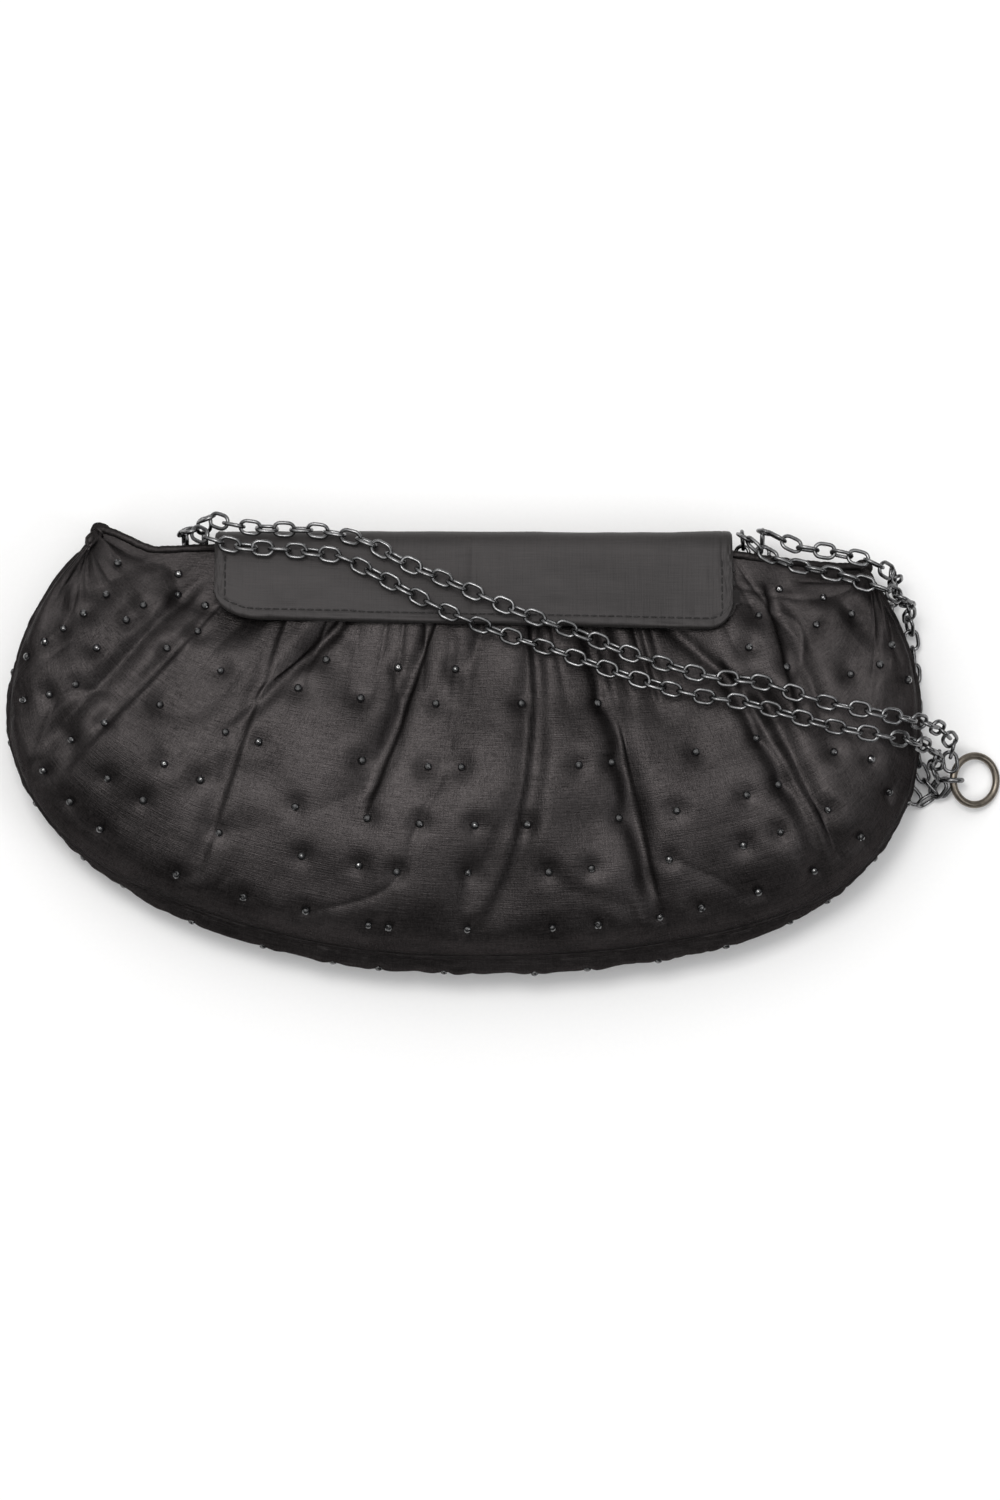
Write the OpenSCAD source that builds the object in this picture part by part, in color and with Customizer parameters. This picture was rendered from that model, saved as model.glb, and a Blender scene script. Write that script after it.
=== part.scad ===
// Satin evening bag with a beaded, gathered front, a narrow flap and a doubled chain strap.
// The bag lies on its back: +Z is up, +Y is towards the mouth, and the origin is in the middle of
// the flat patch that it rests on.

/* [Body] */
// Width of the bag at its widest line
bag_w = 280; // [270:2:290]
// Height of the outline below its widest line
belly_h = 79; // [76:1:82]
// Height of the curve that the two shoulders follow above the widest line
shoulder_h = 95; // [93:1:97]
// Distance from the origin to the widest line
waist_y = 11; // [10:0.5:12]
// Distance from the origin to the straight part of the mouth
mouth_y = 62.3; // [62:0.1:62.6]
// Fullness of the padded front above its edges
swell = 20; // [17:1:21]

/* [Heights] */
// Height of the front seam
front_seam_z = 21; // [20:0.5:22]
// Height of the back seam
back_seam_z = 11.5; // [10.5:0.5:12]
// Height of the front edge of the mouth
front_mouth_z = 26; // [25.5:0.5:26.5]
// Height of the back edge of the mouth
back_mouth_z = 13; // [12.5:0.5:13.5]

/* [Cloth] */
// Thickness of the satin with its backing
satin_t = 0.8; // [0.6:0.1:0.8]
// Thickness of the lining
lining_t = 0.5; // [0.4:0.1:0.6]
// Radius of the corded piping in both seams
piping_r = 1.1; // [0.9:0.1:1.1]
// Radius of the bound edge of the mouth
binding_r = 1.2; // [1:0.1:1.2]

/* [Flap] */
// Width of the flap
flap_w = 157; // [150:1:158]
// Reach of the flap in front of its fold
flap_reach = 26.5; // [26:0.5:27]
// Depth of the flap's two lower corners
flap_corner = 8; // [5:1:10]
// Radius of the hidden magnets
magnet_r = 6; // [4:0.5:7]
// Thickness of the hidden magnets
magnet_t = 1; // [0.8:0.1:1]

/* [Beads] */
// Radius of a bead
bead_r = 1.1; // [0.9:0.1:1.1]
// Distance between neighbouring beads
bead_pitch = 19; // [17:1:26]

/* [Strap] */
// Width over a chain link
chain_w = 5.4; // [4:0.2:5.4]
// Radius of the wire of the big ring
ring_wire_r = 1.15; // [0.8:0.05:1.2]
// Radius of the big ring to the middle of its wire
ring_r = 7.5; // [7:0.1:7.8]
// Radius of the wire of the small rings
small_wire_r = 0.8; // [0.6:0.1:0.9]

/* [Hidden] */

// The outline runs from the left corner of the mouth down and round to the right corner.
corner_start = 150;
corner_sweep = 233;
step = 0.003;
mouth_left_x = outline(0)[0];
mouth_right_x = outline(1)[0];
corner_gap = 4;
corner_z = 15.5;
edge_gap = 0.35;
mouth_margin = 1.2;
seam_lift = piping_r + edge_gap + satin_t;
layer_gap = 0.3;
front_cols = 64;
front_rows = 16;
inner_cols = 36;
inner_rows = 9;
tube_sides = 8;
wadding_t = 2;
wadding_drop = 4.6;
lining_drop = 7.2;
mouth_lining_drop = 1.5;
back_wadding_drop = 1.3;
back_lining_drop = 3.4;
flat_from = 0.28;
flat_to = 0.56;

// The flap turns about a line along X at the back edge of the mouth, where it is sewn on.
hinge_y = 63.6;
hinge_z = 13.2;
// From there it goes up past the mouth, folds over this line and lies on the front.
fold_y = 63.8;
fold_z = 29.2;
flap_x = 3;
left_corner = 14;
flap_cols = 18;
flap_rows = 20;
fold_share = 0.4;
fold_depth = 3.5;
flap_satin_t = 0.6;
stiffener_t = 1.2;
board_inset = 0.07;
flap_lining_t = 0.4;
flap_play = 0.15;
flap_slant = 3.4;
magnet_from_fold = 13;

// Folds of the gathered front: [place at the mouth, lean, width, depth, start, end].
FOLDS = [
  [0.100, -0.060, 0.020, 1.6, 0.00, 0.80],
  [0.173, 0.000, 0.014, 2.2, 0.05, 1.00],
  [0.235, 0.020, 0.030, 1.2, 0.05, 0.70],
  [0.385, -0.200, 0.018, 3.4, 0.10, 0.50],
  [0.345, 0.000, 0.030, 1.2, 0.40, 1.00],
  [0.475, -0.100, 0.018, 2.2, 0.08, 0.75],
  [0.515, -0.050, 0.012, 1.4, 0.08, 0.45],
  [0.560, -0.030, 0.012, 1.8, 0.05, 0.80],
  [0.590, -0.090, 0.012, 2.0, 0.55, 1.05],
  [0.633, 0.000, 0.013, 3.0, 0.05, 1.00],
  [0.660, 0.250, 0.014, 2.0, 0.10, 0.55],
  [0.775, 0.000, 0.015, 3.4, 0.30, 1.05],
  [0.855, -0.060, 0.016, 2.2, 0.05, 0.70],
  [0.920, 0.000, 0.020, 1.4, 0.10, 0.80]
];

// Routes of the four chain strands, from the mouth to the ring and from the ring to the mouth.
LOWER_FRONT = [
  [-85, 59.8, 18], [-85, 64.6, 18.2], [-84.7, 67.2, 22.5], [-82.5, 67.4, 28.2], [-77.5, 65, 32.4],
  [-69, 62.6, 33.4], [-58, 61.6, 33.4], [-46, 60.6, 33.8], [-36, 58.6, 34.4], [-22, 51.5, 36.2],
  [-9, 44.5, 38.4], [1, 40, 39.4], [16, 34.5, 38], [27, 31, 38], [37, 27.5, 38.5], [53, 22, 39.6],
  [69, 17.5, 40.5], [85, 15, 40], [98, 11.5, 39.8], [111, 8, 40.1], [124, 5.5, 39.6],
  [132, 4.2, 36.6], [137.5, 3, 32.2], [141.5, 1.3, 27], [143.8, -0.5, 20.5], [144.3, -3, 14],
  [144.3, -5.8, 9]
];
UPPER_FRONT = [
  [-79, 59.8, 18.2], [-79, 65.4, 18.6], [-79, 69.6, 21.5], [-77.5, 71.2, 26.2],
  [-71.5, 69.4, 29.8], [-63, 68, 30.9], [-54, 67.6, 31], [-43, 67, 31.4], [-30, 63.9, 33.2],
  [-18, 57.5, 35.2], [-5, 52, 36.8], [12, 44.5, 38.6], [22, 40.5, 39.8], [32, 37, 38.6],
  [41, 33.5, 37.8], [51, 29.5, 38.5], [61, 26.5, 39.5], [74, 23, 39.6], [88, 21.5, 38.8],
  [98, 18.5, 39], [110, 15, 39.2], [121, 12.8, 39.4], [128, 11.3, 38.3], [134, 10.2, 35.5],
  [139.8, 9, 30.5], [144.2, 7.5, 24.5], [147.5, 5, 18], [149.6, 2, 13.5], [149, -1.5, 9.8]
];
LOWER_SIDE = [
  [145.6, -12.1, 3.1], [141.5, -7.7, 3.1], [139, 0, 3.1], [138.6, 10, 3.1], [138.5, 22, 3.1],
  [138, 31, 3.3], [137, 38, 5.5], [136.4, 42.5, 10.5], [135.6, 44.5, 16], [134, 46.2, 23.5],
  [128, 49.2, 29.7], [120.4, 51.7, 28], [113, 54, 27.4], [104, 56, 27], [97, 57.8, 27.4],
  [90.5, 61, 28.2], [86.5, 64.4, 26.4], [85, 65.6, 22], [85, 64, 18.7], [85, 59.8, 18.4]
];
UPPER_SIDE = [
  [140, -15, 3.1], [135.8, -10, 3.1], [133.5, -3, 3.1], [132.5, 6, 3.1], [132.5, 26, 3.1],
  [131.8, 35, 3.1], [131.2, 42, 3.5], [131.6, 48, 6.5], [132, 51.5, 12], [131.2, 53.5, 18],
  [128.4, 55.5, 24], [121.5, 58.6, 27.4], [111, 61, 27.2], [102.5, 62.2, 27.4], [96.5, 64.8, 27.6],
  [92.6, 66.8, 24.8], [91.2, 66.6, 20.5], [91, 64, 18.4], [91, 59.8, 18.2]
];

function ease(t) = let (c = min(max(t, 0), 1)) c * c * (3 - 2 * c);
function mix(a, b, t) = a * (1 - t) + b * t;
function signed_pow(x, e) = sign(x) * pow(abs(x), e);
function unit(v) = v / norm(v);
function arch(u) = sin(180 * min(max(u, 0), 1));

// Outline of the bag in plan: an ellipse, squarer at the lower right.
function outline(u) =
  let (s = corner_start + corner_sweep * u, a = s + 8 * sin(2 * s), low = sin(a) < 0)
  let (e = low && cos(a) > 0 ? 0.8 : 1)
  [bag_w / 2 * signed_pow(cos(a), e), waist_y + (low ? belly_h : shoulder_h) * signed_pow(sin(a), e)];

function outward(u) = let (d = outline(u + step) - outline(u - step)) unit([d[1], -d[0]]);
function seam_inset(u) = 2 + 4 * ease((arch(u) - 0.6) / 0.35);
function seam_plan(u) = outline(u) - seam_inset(u) * outward(u);

// Mouth in plan: straight under the flap, with a dip at the left and a fall at the right.
function mouth_plan(u) =
  let (left = outline(0)[1] - mouth_y, right = outline(1)[1] - mouth_y)
  let (dip = 0.6 * ease(u / 0.03) * exp(-pow((u - 0.085) / 0.035, 2)))
  [mix(mouth_left_x, mouth_right_x, u),
   mouth_y + left * (1 - ease(u / 0.08)) + right * ease((u - 0.72) / 0.26) - dip];

function rise(u) = pow(arch(u), 0.5);
function front_seam_at(u) = mix(corner_z + corner_gap / 2, front_seam_z, rise(u));
function back_seam_at(u) = mix(corner_z - corner_gap / 2, back_seam_z, rise(u));
function front_mouth_at(u) = mix(corner_z + corner_gap / 2, front_mouth_z, rise(u));
function back_mouth_at(u) = mix(corner_z - corner_gap / 2, back_mouth_z, rise(u));

// Plan position a share v of the way from the mouth to the seam, clear of the bound mouth edge.
function panel_plan(u, v) =
  let (m = mouth_plan(u), s = seam_plan(u), share = (binding_r + mouth_margin * (2 - rise(u))) / norm(s - m))
  mix(m, s, share + (1 - share) * v);

function puff(v) = pow(v / 0.706, 1.2) * pow(max(1 - v, 0) / 0.294, 0.5);
function one_fold(f, u, v) =
  f[3] * ease((v - f[4]) / 0.15) * (1 - ease((v - f[5] + 0.2) / 0.2))
  / pow(1 + pow((u - f[0] - f[1] * v) / f[2], 2), 1.5);
function folds(u, v) = let (all = [for (f = FOLDS) one_fold(f, u, v)])
  all * [for (f = FOLDS) 1] * ease(v / 0.08) * ease((1 - v) / 0.1);

// Surfaces of the front and of the back, as functions of u along the mouth and t across it.
function toward_seam(t) = 1 - pow(1 - t, 1.6);
function front_at(u, v, fold) =
  let (p = panel_plan(u, v))
  let (edge = mix(front_mouth_at(u), front_seam_at(u) + seam_lift, v))
  [p[0], p[1], edge + swell * pow(arch(u), 0.45) * puff(v) - fold * folds(u, v)];
gathered_front = function (u, t) front_at(u, toward_seam(t), 1);
smooth_front = function (u, t) front_at(u, toward_seam(t), 0);

function back_level(v) = v < flat_from
  ? back_mouth_z * pow(1 - v / flat_from, 2)
  : (v > flat_to ? (back_seam_z - seam_lift) * pow((v - flat_to) / (1 - flat_to), 2) : 0);
back_face = function (u, v)
  let (p = panel_plan(u, v))
  let (edge = mix(back_mouth_at(u), back_seam_at(u) - seam_lift, v))
  [p[0], p[1], mix(edge, back_level(v), ease(arch(u) / 0.55))];

// The same back surface, run the other way along the mouth, so that its normals point out.
under_face = function (u, v) back_face(1 - u, v);

// The gusset bulges out to the outline between the two seams.
gusset_face = function (u, w)
  let (low = back_seam_at(u) + piping_r + edge_gap, high = front_seam_at(u) - piping_r - edge_gap)
  let (p = outline(u) - outward(u) * seam_inset(u) * (1 - pow(sin(180 * w), 0.8)))
  [p[0], p[1], mix(high, low, w)];

function inside(x) = min(max(x, 0.02), 0.98);
function lift(f, u, v, d) =
  let (a = inside(u), b = inside(v), e = 0.008)
  let (n = unit(cross(f(a + e, b) - f(a - e, b), f(a, b + e) - f(a, b - e))))
  f(u, v) + n * d;

// Closed slab between two offsets of a surface: depth(v) is how far its near side lies inside.
module slab(f, us, vs, cols, rows, near, thick) {
  side = (rows + 1) * (cols + 1);
  pts = [for (k = [0, 1], i = [0 : cols], j = [0 : rows])
    let (u = mix(us[0], us[1], i / cols), v = mix(vs[0], vs[1], j / rows))
    lift(f, u, v, near(v) + k * thick)];
  ring = concat(
    [for (i = [0 : cols]) i * (rows + 1)],
    [for (j = [1 : rows]) cols * (rows + 1) + j],
    [for (i = [cols - 1 : -1 : 0]) i * (rows + 1) + rows],
    [for (j = [rows - 1 : -1 : 1]) j]);
  near_faces = [for (i = [0 : cols - 1], j = [0 : rows - 1])
    let (a = i * (rows + 1) + j, b = a + rows + 1) each [[a, b, b + 1], [a, b + 1, a + 1]]];
  far_faces = [for (t = near_faces) [t[2] + side, t[1] + side, t[0] + side]];
  walls = [for (k = [0 : len(ring) - 1])
    let (a = ring[k], b = ring[(k + 1) % len(ring)]) each [[a, a + side, b + side], [a, b + side, b]]];
  polyhedron(points = pts, faces = concat(near_faces, far_faces, walls));
}

// Round tube along a list of points.
function along(route, k) = unit(route[min(k + 1, len(route) - 1)] - route[max(k - 1, 0)]);
module tube(route, r) {
  last = len(route) - 1;
  pts = [for (k = [0 : last], s = [0 : tube_sides - 1])
    let (t = along(route, k), a = unit(cross(abs(t[2]) > 0.9 ? [0, 1, 0] : [0, 0, 1], t)))
    let (b = cross(t, a), g = 360 * s / tube_sides)
    route[k] + r * (a * cos(g) + b * sin(g))];
  skin = [for (k = [0 : last - 1], s = [0 : tube_sides - 1])
    let (n = (s + 1) % tube_sides, a = k * tube_sides)
    each [[a + s, a + tube_sides + n, a + n], [a + s, a + tube_sides + s, a + tube_sides + n]]];
  caps = [[for (s = [0 : tube_sides - 1]) s],
    [for (s = [tube_sides - 1 : -1 : 0]) last * tube_sides + s]];
  polyhedron(points = pts, faces = concat(skin, caps));
}

// Distance in space from a point to a strand's route, to keep the beads out of its way.
function gap_to(p, route) = min([for (k = [0 : len(route) - 2])
  let (a = route[k], d = route[k + 1] - a, t = min(max((p - a) * d / (d * d), 0), 1)) norm(p - a - d * t)]);
function clear_of_chain(p) =
  min([for (route = [LOWER_FRONT, UPPER_FRONT, LOWER_SIDE, UPPER_SIDE]) gap_to(p, route)]) > chain_w / 2 + 3;

module torus(r, wire) rotate_extrude($fn = 48) translate([r, 0]) circle(wire, $fn = 24);

// Beads stand on the corners of the panel's own grid, in rows a bead pitch apart.
function row_length(f, j, rows) = let (pts = [for (i = [0 : 16]) f(i / 16, j / rows)])
  [for (i = [0 : 15]) norm(pts[i + 1] - pts[i])] * [for (i = [0 : 15]) 1];
function bead_spots(f, rows, row_list, seed) = [for (k = [0 : len(row_list) - 1])
  let (j = row_list[k], count = floor(row_length(f, j, rows) / bead_pitch))
  let (shake = rands(-0.34, 0.34, count, seed + k))
  for (n = [0 : count - 1]) [(n + 0.5 + 0.4 * (k % 2) - 0.2 + shake[n]) / count, j / rows]];
module beads(f, cols, spots) {
  for (s = spots) let (u = round(s[0] * cols) / cols, p = lift(f, mix(0.02, 0.98, u), s[1], -bead_r - layer_gap))
    if (clear_of_chain(p)) translate(p) sphere(bead_r, $fn = 16);
}

module front_panel() {
  color("#2b2727") slab(gathered_front, [0.02, 0.98], [0, 1], front_cols, front_rows,
    function (v) 0, satin_t);
}
module front_wadding() {
  color("#e9e6df") slab(smooth_front, [0.08, 0.92], [0.15, 0.9], inner_cols, inner_rows,
    function (v) wadding_drop, wadding_t);
}
module front_lining() {
  color("#1d1d20") slab(smooth_front, [0.07, 0.93], [0.02, 0.93], inner_cols, inner_rows,
    function (v) mix(mouth_lining_drop, lining_drop, ease(v / 0.12)), lining_t);
}
module back_panel() {
  color("#2b2727") slab(back_face, [0.02, 0.98], [0, 1], 48, 12, function (v) -satin_t, satin_t);
}
module back_wadding() {
  color("#e9e6df") slab(back_face, [0.08, 0.92], [0.14, 0.9], inner_cols, inner_rows,
    function (v) -back_wadding_drop - wadding_t, wadding_t);
}
module back_lining() {
  color("#1d1d20") slab(back_face, [0.07, 0.93], [0.02, 0.93], inner_cols, inner_rows,
    function (v) -mix(mouth_lining_drop, back_lining_drop + wadding_t / 2, ease(v / 0.16)), lining_t);
}
module gusset() {
  color("#2b2727") slab(gusset_face, [0.02, 0.98], [0, 1], 60, 4, function (v) 0, satin_t);
}
module gusset_lining() {
  color("#1d1d20") slab(gusset_face, [0.14, 0.86], [0.06, 0.94], 40, 3,
    function (v) satin_t + layer_gap, lining_t);
}
module front_piping() {
  color("#262222") tube([for (i = [1 : 59]) let (u = i / 60, p = seam_plan(u)) [p[0], p[1], front_seam_at(u)]],
    piping_r);
}
module back_piping() {
  color("#262222") tube([for (i = [1 : 59]) let (u = i / 60, p = seam_plan(u)) [p[0], p[1], back_seam_at(u)]],
    piping_r);
}
module front_mouth_binding() {
  color("#262222") tube([for (i = [1 : 39]) let (u = i / 40, p = mouth_plan(u)) [p[0], p[1], front_mouth_at(u)]],
    binding_r);
}
module back_mouth_binding() {
  color("#262222") tube([for (i = [1 : 39]) let (u = i / 40, p = mouth_plan(u)) [p[0], p[1], back_mouth_at(u)]],
    binding_r);
}
module front_beads() {
  spots = bead_spots(gathered_front, front_rows, [1, 2, 3, 4, 6, 8, 10, 13], 11);
  kept = [for (s = spots) let (p = gathered_front(s[0], s[1]))
    if (s[0] > 0.04 && s[0] < 0.965 && (p[1] < fold_y - flap_reach - 4 || abs(p[0] - flap_x) > flap_w / 2 + 4)) s];
  color("#0b0b0c") beads(gathered_front, front_cols, kept);
}
module gusset_beads() {
  spots = [for (n = [2 : 20]) [n / 22, 0.5]];
  color("#0b0b0c") beads(gusset_face, 60, spots);
}
module back_beads() {
  spots = [for (n = [1 : 17], k = [0, 1]) [(n + 0.5 * k) / 18.5, k == 0 ? 10 / 12 : 11 / 12]];
  color("#0b0b0c") beads(under_face, 48, spots);
}

// Height of the flap where it lies on the front, a little higher along its middle.
function flap_level(x, y) = let (d = fold_y - y, across = (x - flap_x) / (flap_w / 2))
  fold_z + 0.2 * d + 0.05 * d * (1 - across * across);
// Rising part and fold, as a curve pulled from the hinge towards the fold.
function flap_bend(x, t) =
  let (top = flap_level(x, fold_y - fold_depth), pull = [x, fold_y + 6.8, top - 1.2])
  let (from = [x, hinge_y + 0.6, hinge_z + 1.7], to = [x, fold_y - fold_depth, top])
  from * pow(1 - t, 2) + pull * 2 * t * (1 - t) + to * t * t;
flap_face = function (u, v)
  let (share = (1 - cos(180 * u)) / 2, x = flap_x + flap_w * (share - 0.5))
  let (long = x < flap_x ? left_corner : flap_corner)
  let (over = max(abs(x - flap_x) - flap_w / 2 + long, 0) / long)
  let (cut = flap_corner * (1 - sqrt(max(1 - over * over, 0))))
  let (reach = flap_reach - fold_depth + flap_slant * (share - 1) - cut)
  let (y = fold_y - fold_depth - reach * (v - fold_share) / (1 - fold_share))
  v < fold_share ? flap_bend(x, v / fold_share) : [x, y, flap_level(x, y)];
// The board stops short of the flap's rim.
module flap_slab(drop, thick, inset = 0) slab(flap_face, [inset, 1 - inset], [0, 1 - inset],
  flap_cols, flap_rows, function (v) drop, thick);
module flap_satin() { color("#34312f") flap_slab(-flap_satin_t, flap_satin_t); }
module flap_stiffener() {
  color("#cfc9bd") difference() {
    flap_slab(flap_play, stiffener_t, board_inset);
    magnet_place(0) cylinder(h = 4 * stiffener_t, r = magnet_r + layer_gap, center = true, $fn = 48);
  }
}
module flap_lining() { color("#1d1d20") flap_slab(2 * flap_play + stiffener_t, flap_lining_t); }
// The hidden magnets face each other through the satin.
module magnet_place(drop) {
  y = fold_y - magnet_from_fold;
  tilt = atan2(flap_level(flap_x, y - 1) - flap_level(flap_x, y + 1), 2);
  translate([flap_x, y, flap_level(flap_x, y)]) rotate([-tilt, 0, 0])
    translate([0, 0, -flap_play - stiffener_t / 2 - drop]) children();
}
module flap_magnet() {
  color("#9a9a98") magnet_place(0) cylinder(h = magnet_t, r = magnet_r, center = true, $fn = 48);
}
module front_magnet() {
  color("#9a9a98") magnet_place(5) cylinder(h = magnet_t, r = magnet_r, center = true, $fn = 48);
}

// Strap anchors: a satin tab folded inside each end of the mouth, and its ring.
left_anchor_x = -82;
right_anchor_x = 88;
anchor_y = 54.5;
anchor_z = 19;
anchor_r = 4;
module anchor_tab(x) {
  color("#262222") translate([x, anchor_y - 9, anchor_z - 0.6]) cube([5, 8, 1.2], center = true);
}
module anchor_ring(x) { color("#6d6a66") translate([x, anchor_y, anchor_z]) torus(anchor_r, small_wire_r); }
module left_anchor_tab() { anchor_tab(left_anchor_x); }
module right_anchor_tab() { anchor_tab(right_anchor_x); }
module left_anchor_ring() { anchor_ring(left_anchor_x); }
module right_anchor_ring() { anchor_ring(right_anchor_x); }

module front_chain_lower() { color("#5c5c60") tube(LOWER_FRONT, chain_w / 2); }
module front_chain_upper() { color("#5c5c60") tube(UPPER_FRONT, chain_w / 2); }
module side_chain_lower() { color("#5c5c60") tube(LOWER_SIDE, chain_w / 2); }
module side_chain_upper() { color("#5c5c60") tube(UPPER_SIDE, chain_w / 2); }

// The small ring gathers the strands; the big ring hangs on it and lies flat.
ring_lean = 24;
jump_at = [149.9, -8.5, 6.5];
ring_at = [157, -8.5, 4.3];
module jump_ring() { color("#5c5c60") translate(jump_at) rotate([90, 0, 0]) torus(3, small_wire_r); }
module strap_ring() { color("#8b8378") translate(ring_at) rotate([0, ring_lean, 0]) torus(ring_r, ring_wire_r); }

front_panel();
front_wadding();
front_lining();
back_panel();
back_wadding();
back_lining();
gusset();
gusset_lining();
front_piping();
back_piping();
front_mouth_binding();
back_mouth_binding();
front_beads();
gusset_beads();
back_beads();
front_magnet();
flap_satin();
flap_stiffener();
flap_lining();
flap_magnet();
left_anchor_tab();
right_anchor_tab();
left_anchor_ring();
right_anchor_ring();
front_chain_lower();
front_chain_upper();
side_chain_lower();
side_chain_upper();
jump_ring();
strap_ring();
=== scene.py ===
"""Satin evening bag with a gathered, beaded front, a narrow flap and a doubled chain strap.

Every shape is worked out in millimetres on grids of two parameters and put into its mesh in metres.
"""

import bmesh
import bpy
import numpy as np
from bpy.props import FloatProperty, FloatVectorProperty, IntProperty, PointerProperty
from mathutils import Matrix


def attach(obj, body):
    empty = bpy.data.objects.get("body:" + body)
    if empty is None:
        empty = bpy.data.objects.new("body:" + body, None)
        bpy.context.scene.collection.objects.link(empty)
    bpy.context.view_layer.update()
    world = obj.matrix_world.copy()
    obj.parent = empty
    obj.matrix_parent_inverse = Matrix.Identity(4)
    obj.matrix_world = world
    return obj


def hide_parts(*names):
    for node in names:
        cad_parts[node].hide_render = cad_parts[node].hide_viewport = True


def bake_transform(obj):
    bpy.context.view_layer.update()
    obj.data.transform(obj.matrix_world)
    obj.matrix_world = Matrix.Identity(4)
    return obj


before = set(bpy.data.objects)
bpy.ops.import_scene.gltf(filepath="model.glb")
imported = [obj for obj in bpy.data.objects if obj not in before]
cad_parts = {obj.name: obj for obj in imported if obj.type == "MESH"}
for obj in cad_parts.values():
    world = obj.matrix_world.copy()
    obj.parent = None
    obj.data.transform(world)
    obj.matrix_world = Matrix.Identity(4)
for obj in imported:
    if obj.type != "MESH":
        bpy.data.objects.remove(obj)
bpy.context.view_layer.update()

bl_info = {
    "name": "Satin Evening Bag",
    "version": (1, 0, 0),
    "blender": (4, 5, 0),
    "location": "3D View > Sidebar > Bag",
    "description": "Gathered satin evening bag with beads, flap and chain strap",
    "category": "Add Mesh",
}

MM = 0.001
BELLY = 79.0
SHOULDER = 95.0
WAIST_Y = 11.0
MOUTH_Y = 62.3
SWELL = 20.0
FRONT_SEAM_Z = 21.0
BACK_SEAM_Z = 11.5
FRONT_MOUTH_Z = 26.0
BACK_MOUTH_Z = 13.0
CORNER_Z = 15.5
CORNER_GAP = 4.0
SATIN = 0.8
PIPING = 1.1
BINDING = 1.2
SEAM_LIFT = PIPING + 0.35 + SATIN
MOUTH_MARGIN = 1.2
FLAT_FROM = 0.28
FLAT_TO = 0.56
HINGE = (63.6, 13.2)
FOLD = (63.8, 29.2)
FOLD_DEPTH = 3.5
FOLD_SHARE = 0.4
FLAP_X = 3.0
FLAP_SLANT = 3.4
LEFT_CORNER = 14.0
RING_AT = (157.0, -8.5, 4.3)
RING_LEAN = 24.0
JUMP_AT = (149.9, -8.5, 6.5)

# Folds of the gathered front: place at the mouth, lean, width, depth, start, end.
FOLDS = (
    (0.100, -0.060, 0.020, 1.6, 0.00, 0.80),
    (0.173, 0.000, 0.014, 2.2, 0.05, 1.00),
    (0.235, 0.020, 0.030, 1.2, 0.05, 0.70),
    (0.385, -0.200, 0.018, 3.4, 0.10, 0.50),
    (0.345, 0.000, 0.030, 1.2, 0.40, 1.00),
    (0.475, -0.100, 0.018, 2.2, 0.08, 0.75),
    (0.515, -0.050, 0.012, 1.4, 0.08, 0.45),
    (0.560, -0.030, 0.012, 1.8, 0.05, 0.80),
    (0.590, -0.090, 0.012, 2.0, 0.55, 1.05),
    (0.633, 0.000, 0.013, 3.0, 0.05, 1.00),
    (0.660, 0.250, 0.014, 2.0, 0.10, 0.55),
    (0.775, 0.000, 0.015, 3.4, 0.30, 1.05),
    (0.855, -0.060, 0.016, 2.2, 0.05, 0.70),
    (0.920, 0.000, 0.020, 1.4, 0.10, 0.80),
)

# Tucks where one side of the cloth laps over the other: place at three depths, start, end, step,
# side.
TUCKS = (
    (0.218, 0.208, 0.199, 0.10, 0.95, 0.6, 1),
    (0.294, 0.309, 0.320, 0.08, 0.98, 0.8, 1),
    (0.345, 0.285, 0.230, 0.05, 0.55, 1.0, -1),
    (0.453, 0.431, 0.400, 0.10, 0.72, 0.9, 1),
    (0.556, 0.549, 0.513, 0.02, 1.02, 1.3, -1),
    (0.622, 0.632, 0.636, 0.05, 0.95, 1.1, 1),
    (0.676, 0.672, 0.668, 0.05, 0.45, 0.7, 1),
    (0.742, 0.762, 0.763, 0.28, 1.02, 1.2, 1),
    (0.830, 0.796, 0.770, 0.05, 0.60, 0.9, -1),
)
TUCK_DEPTHS = (0.20, 0.55, 0.95)

# Routes of the strands in millimetres, from the mouth to the ring and from the ring to the mouth.
LOWER_FRONT = (
    (-85, 59.8, 18), (-85, 64.6, 18.2), (-84.7, 67.2, 22.5), (-82.5, 67.4, 28.2), (-77.5, 65, 32.4),
    (-69, 62.6, 33.4), (-58, 61.6, 33.4), (-46, 60.6, 33.8), (-36, 58.6, 34.4), (-22, 51.5, 36.2),
    (-9, 44.5, 38.4), (1, 40, 39.4), (16, 34.5, 38), (27, 31, 38), (37, 27.5, 38.5), (53, 22, 39.6),
    (69, 17.5, 40.5), (85, 15, 40), (98, 11.5, 39.8), (111, 8, 40.1), (124, 5.5, 39.6),
    (132, 4.2, 36.6), (137.5, 3, 32.2), (141.5, 1.3, 27), (143.8, -0.5, 20.5), (144.3, -3, 14),
    (144.3, -5.8, 9),
)
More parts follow.
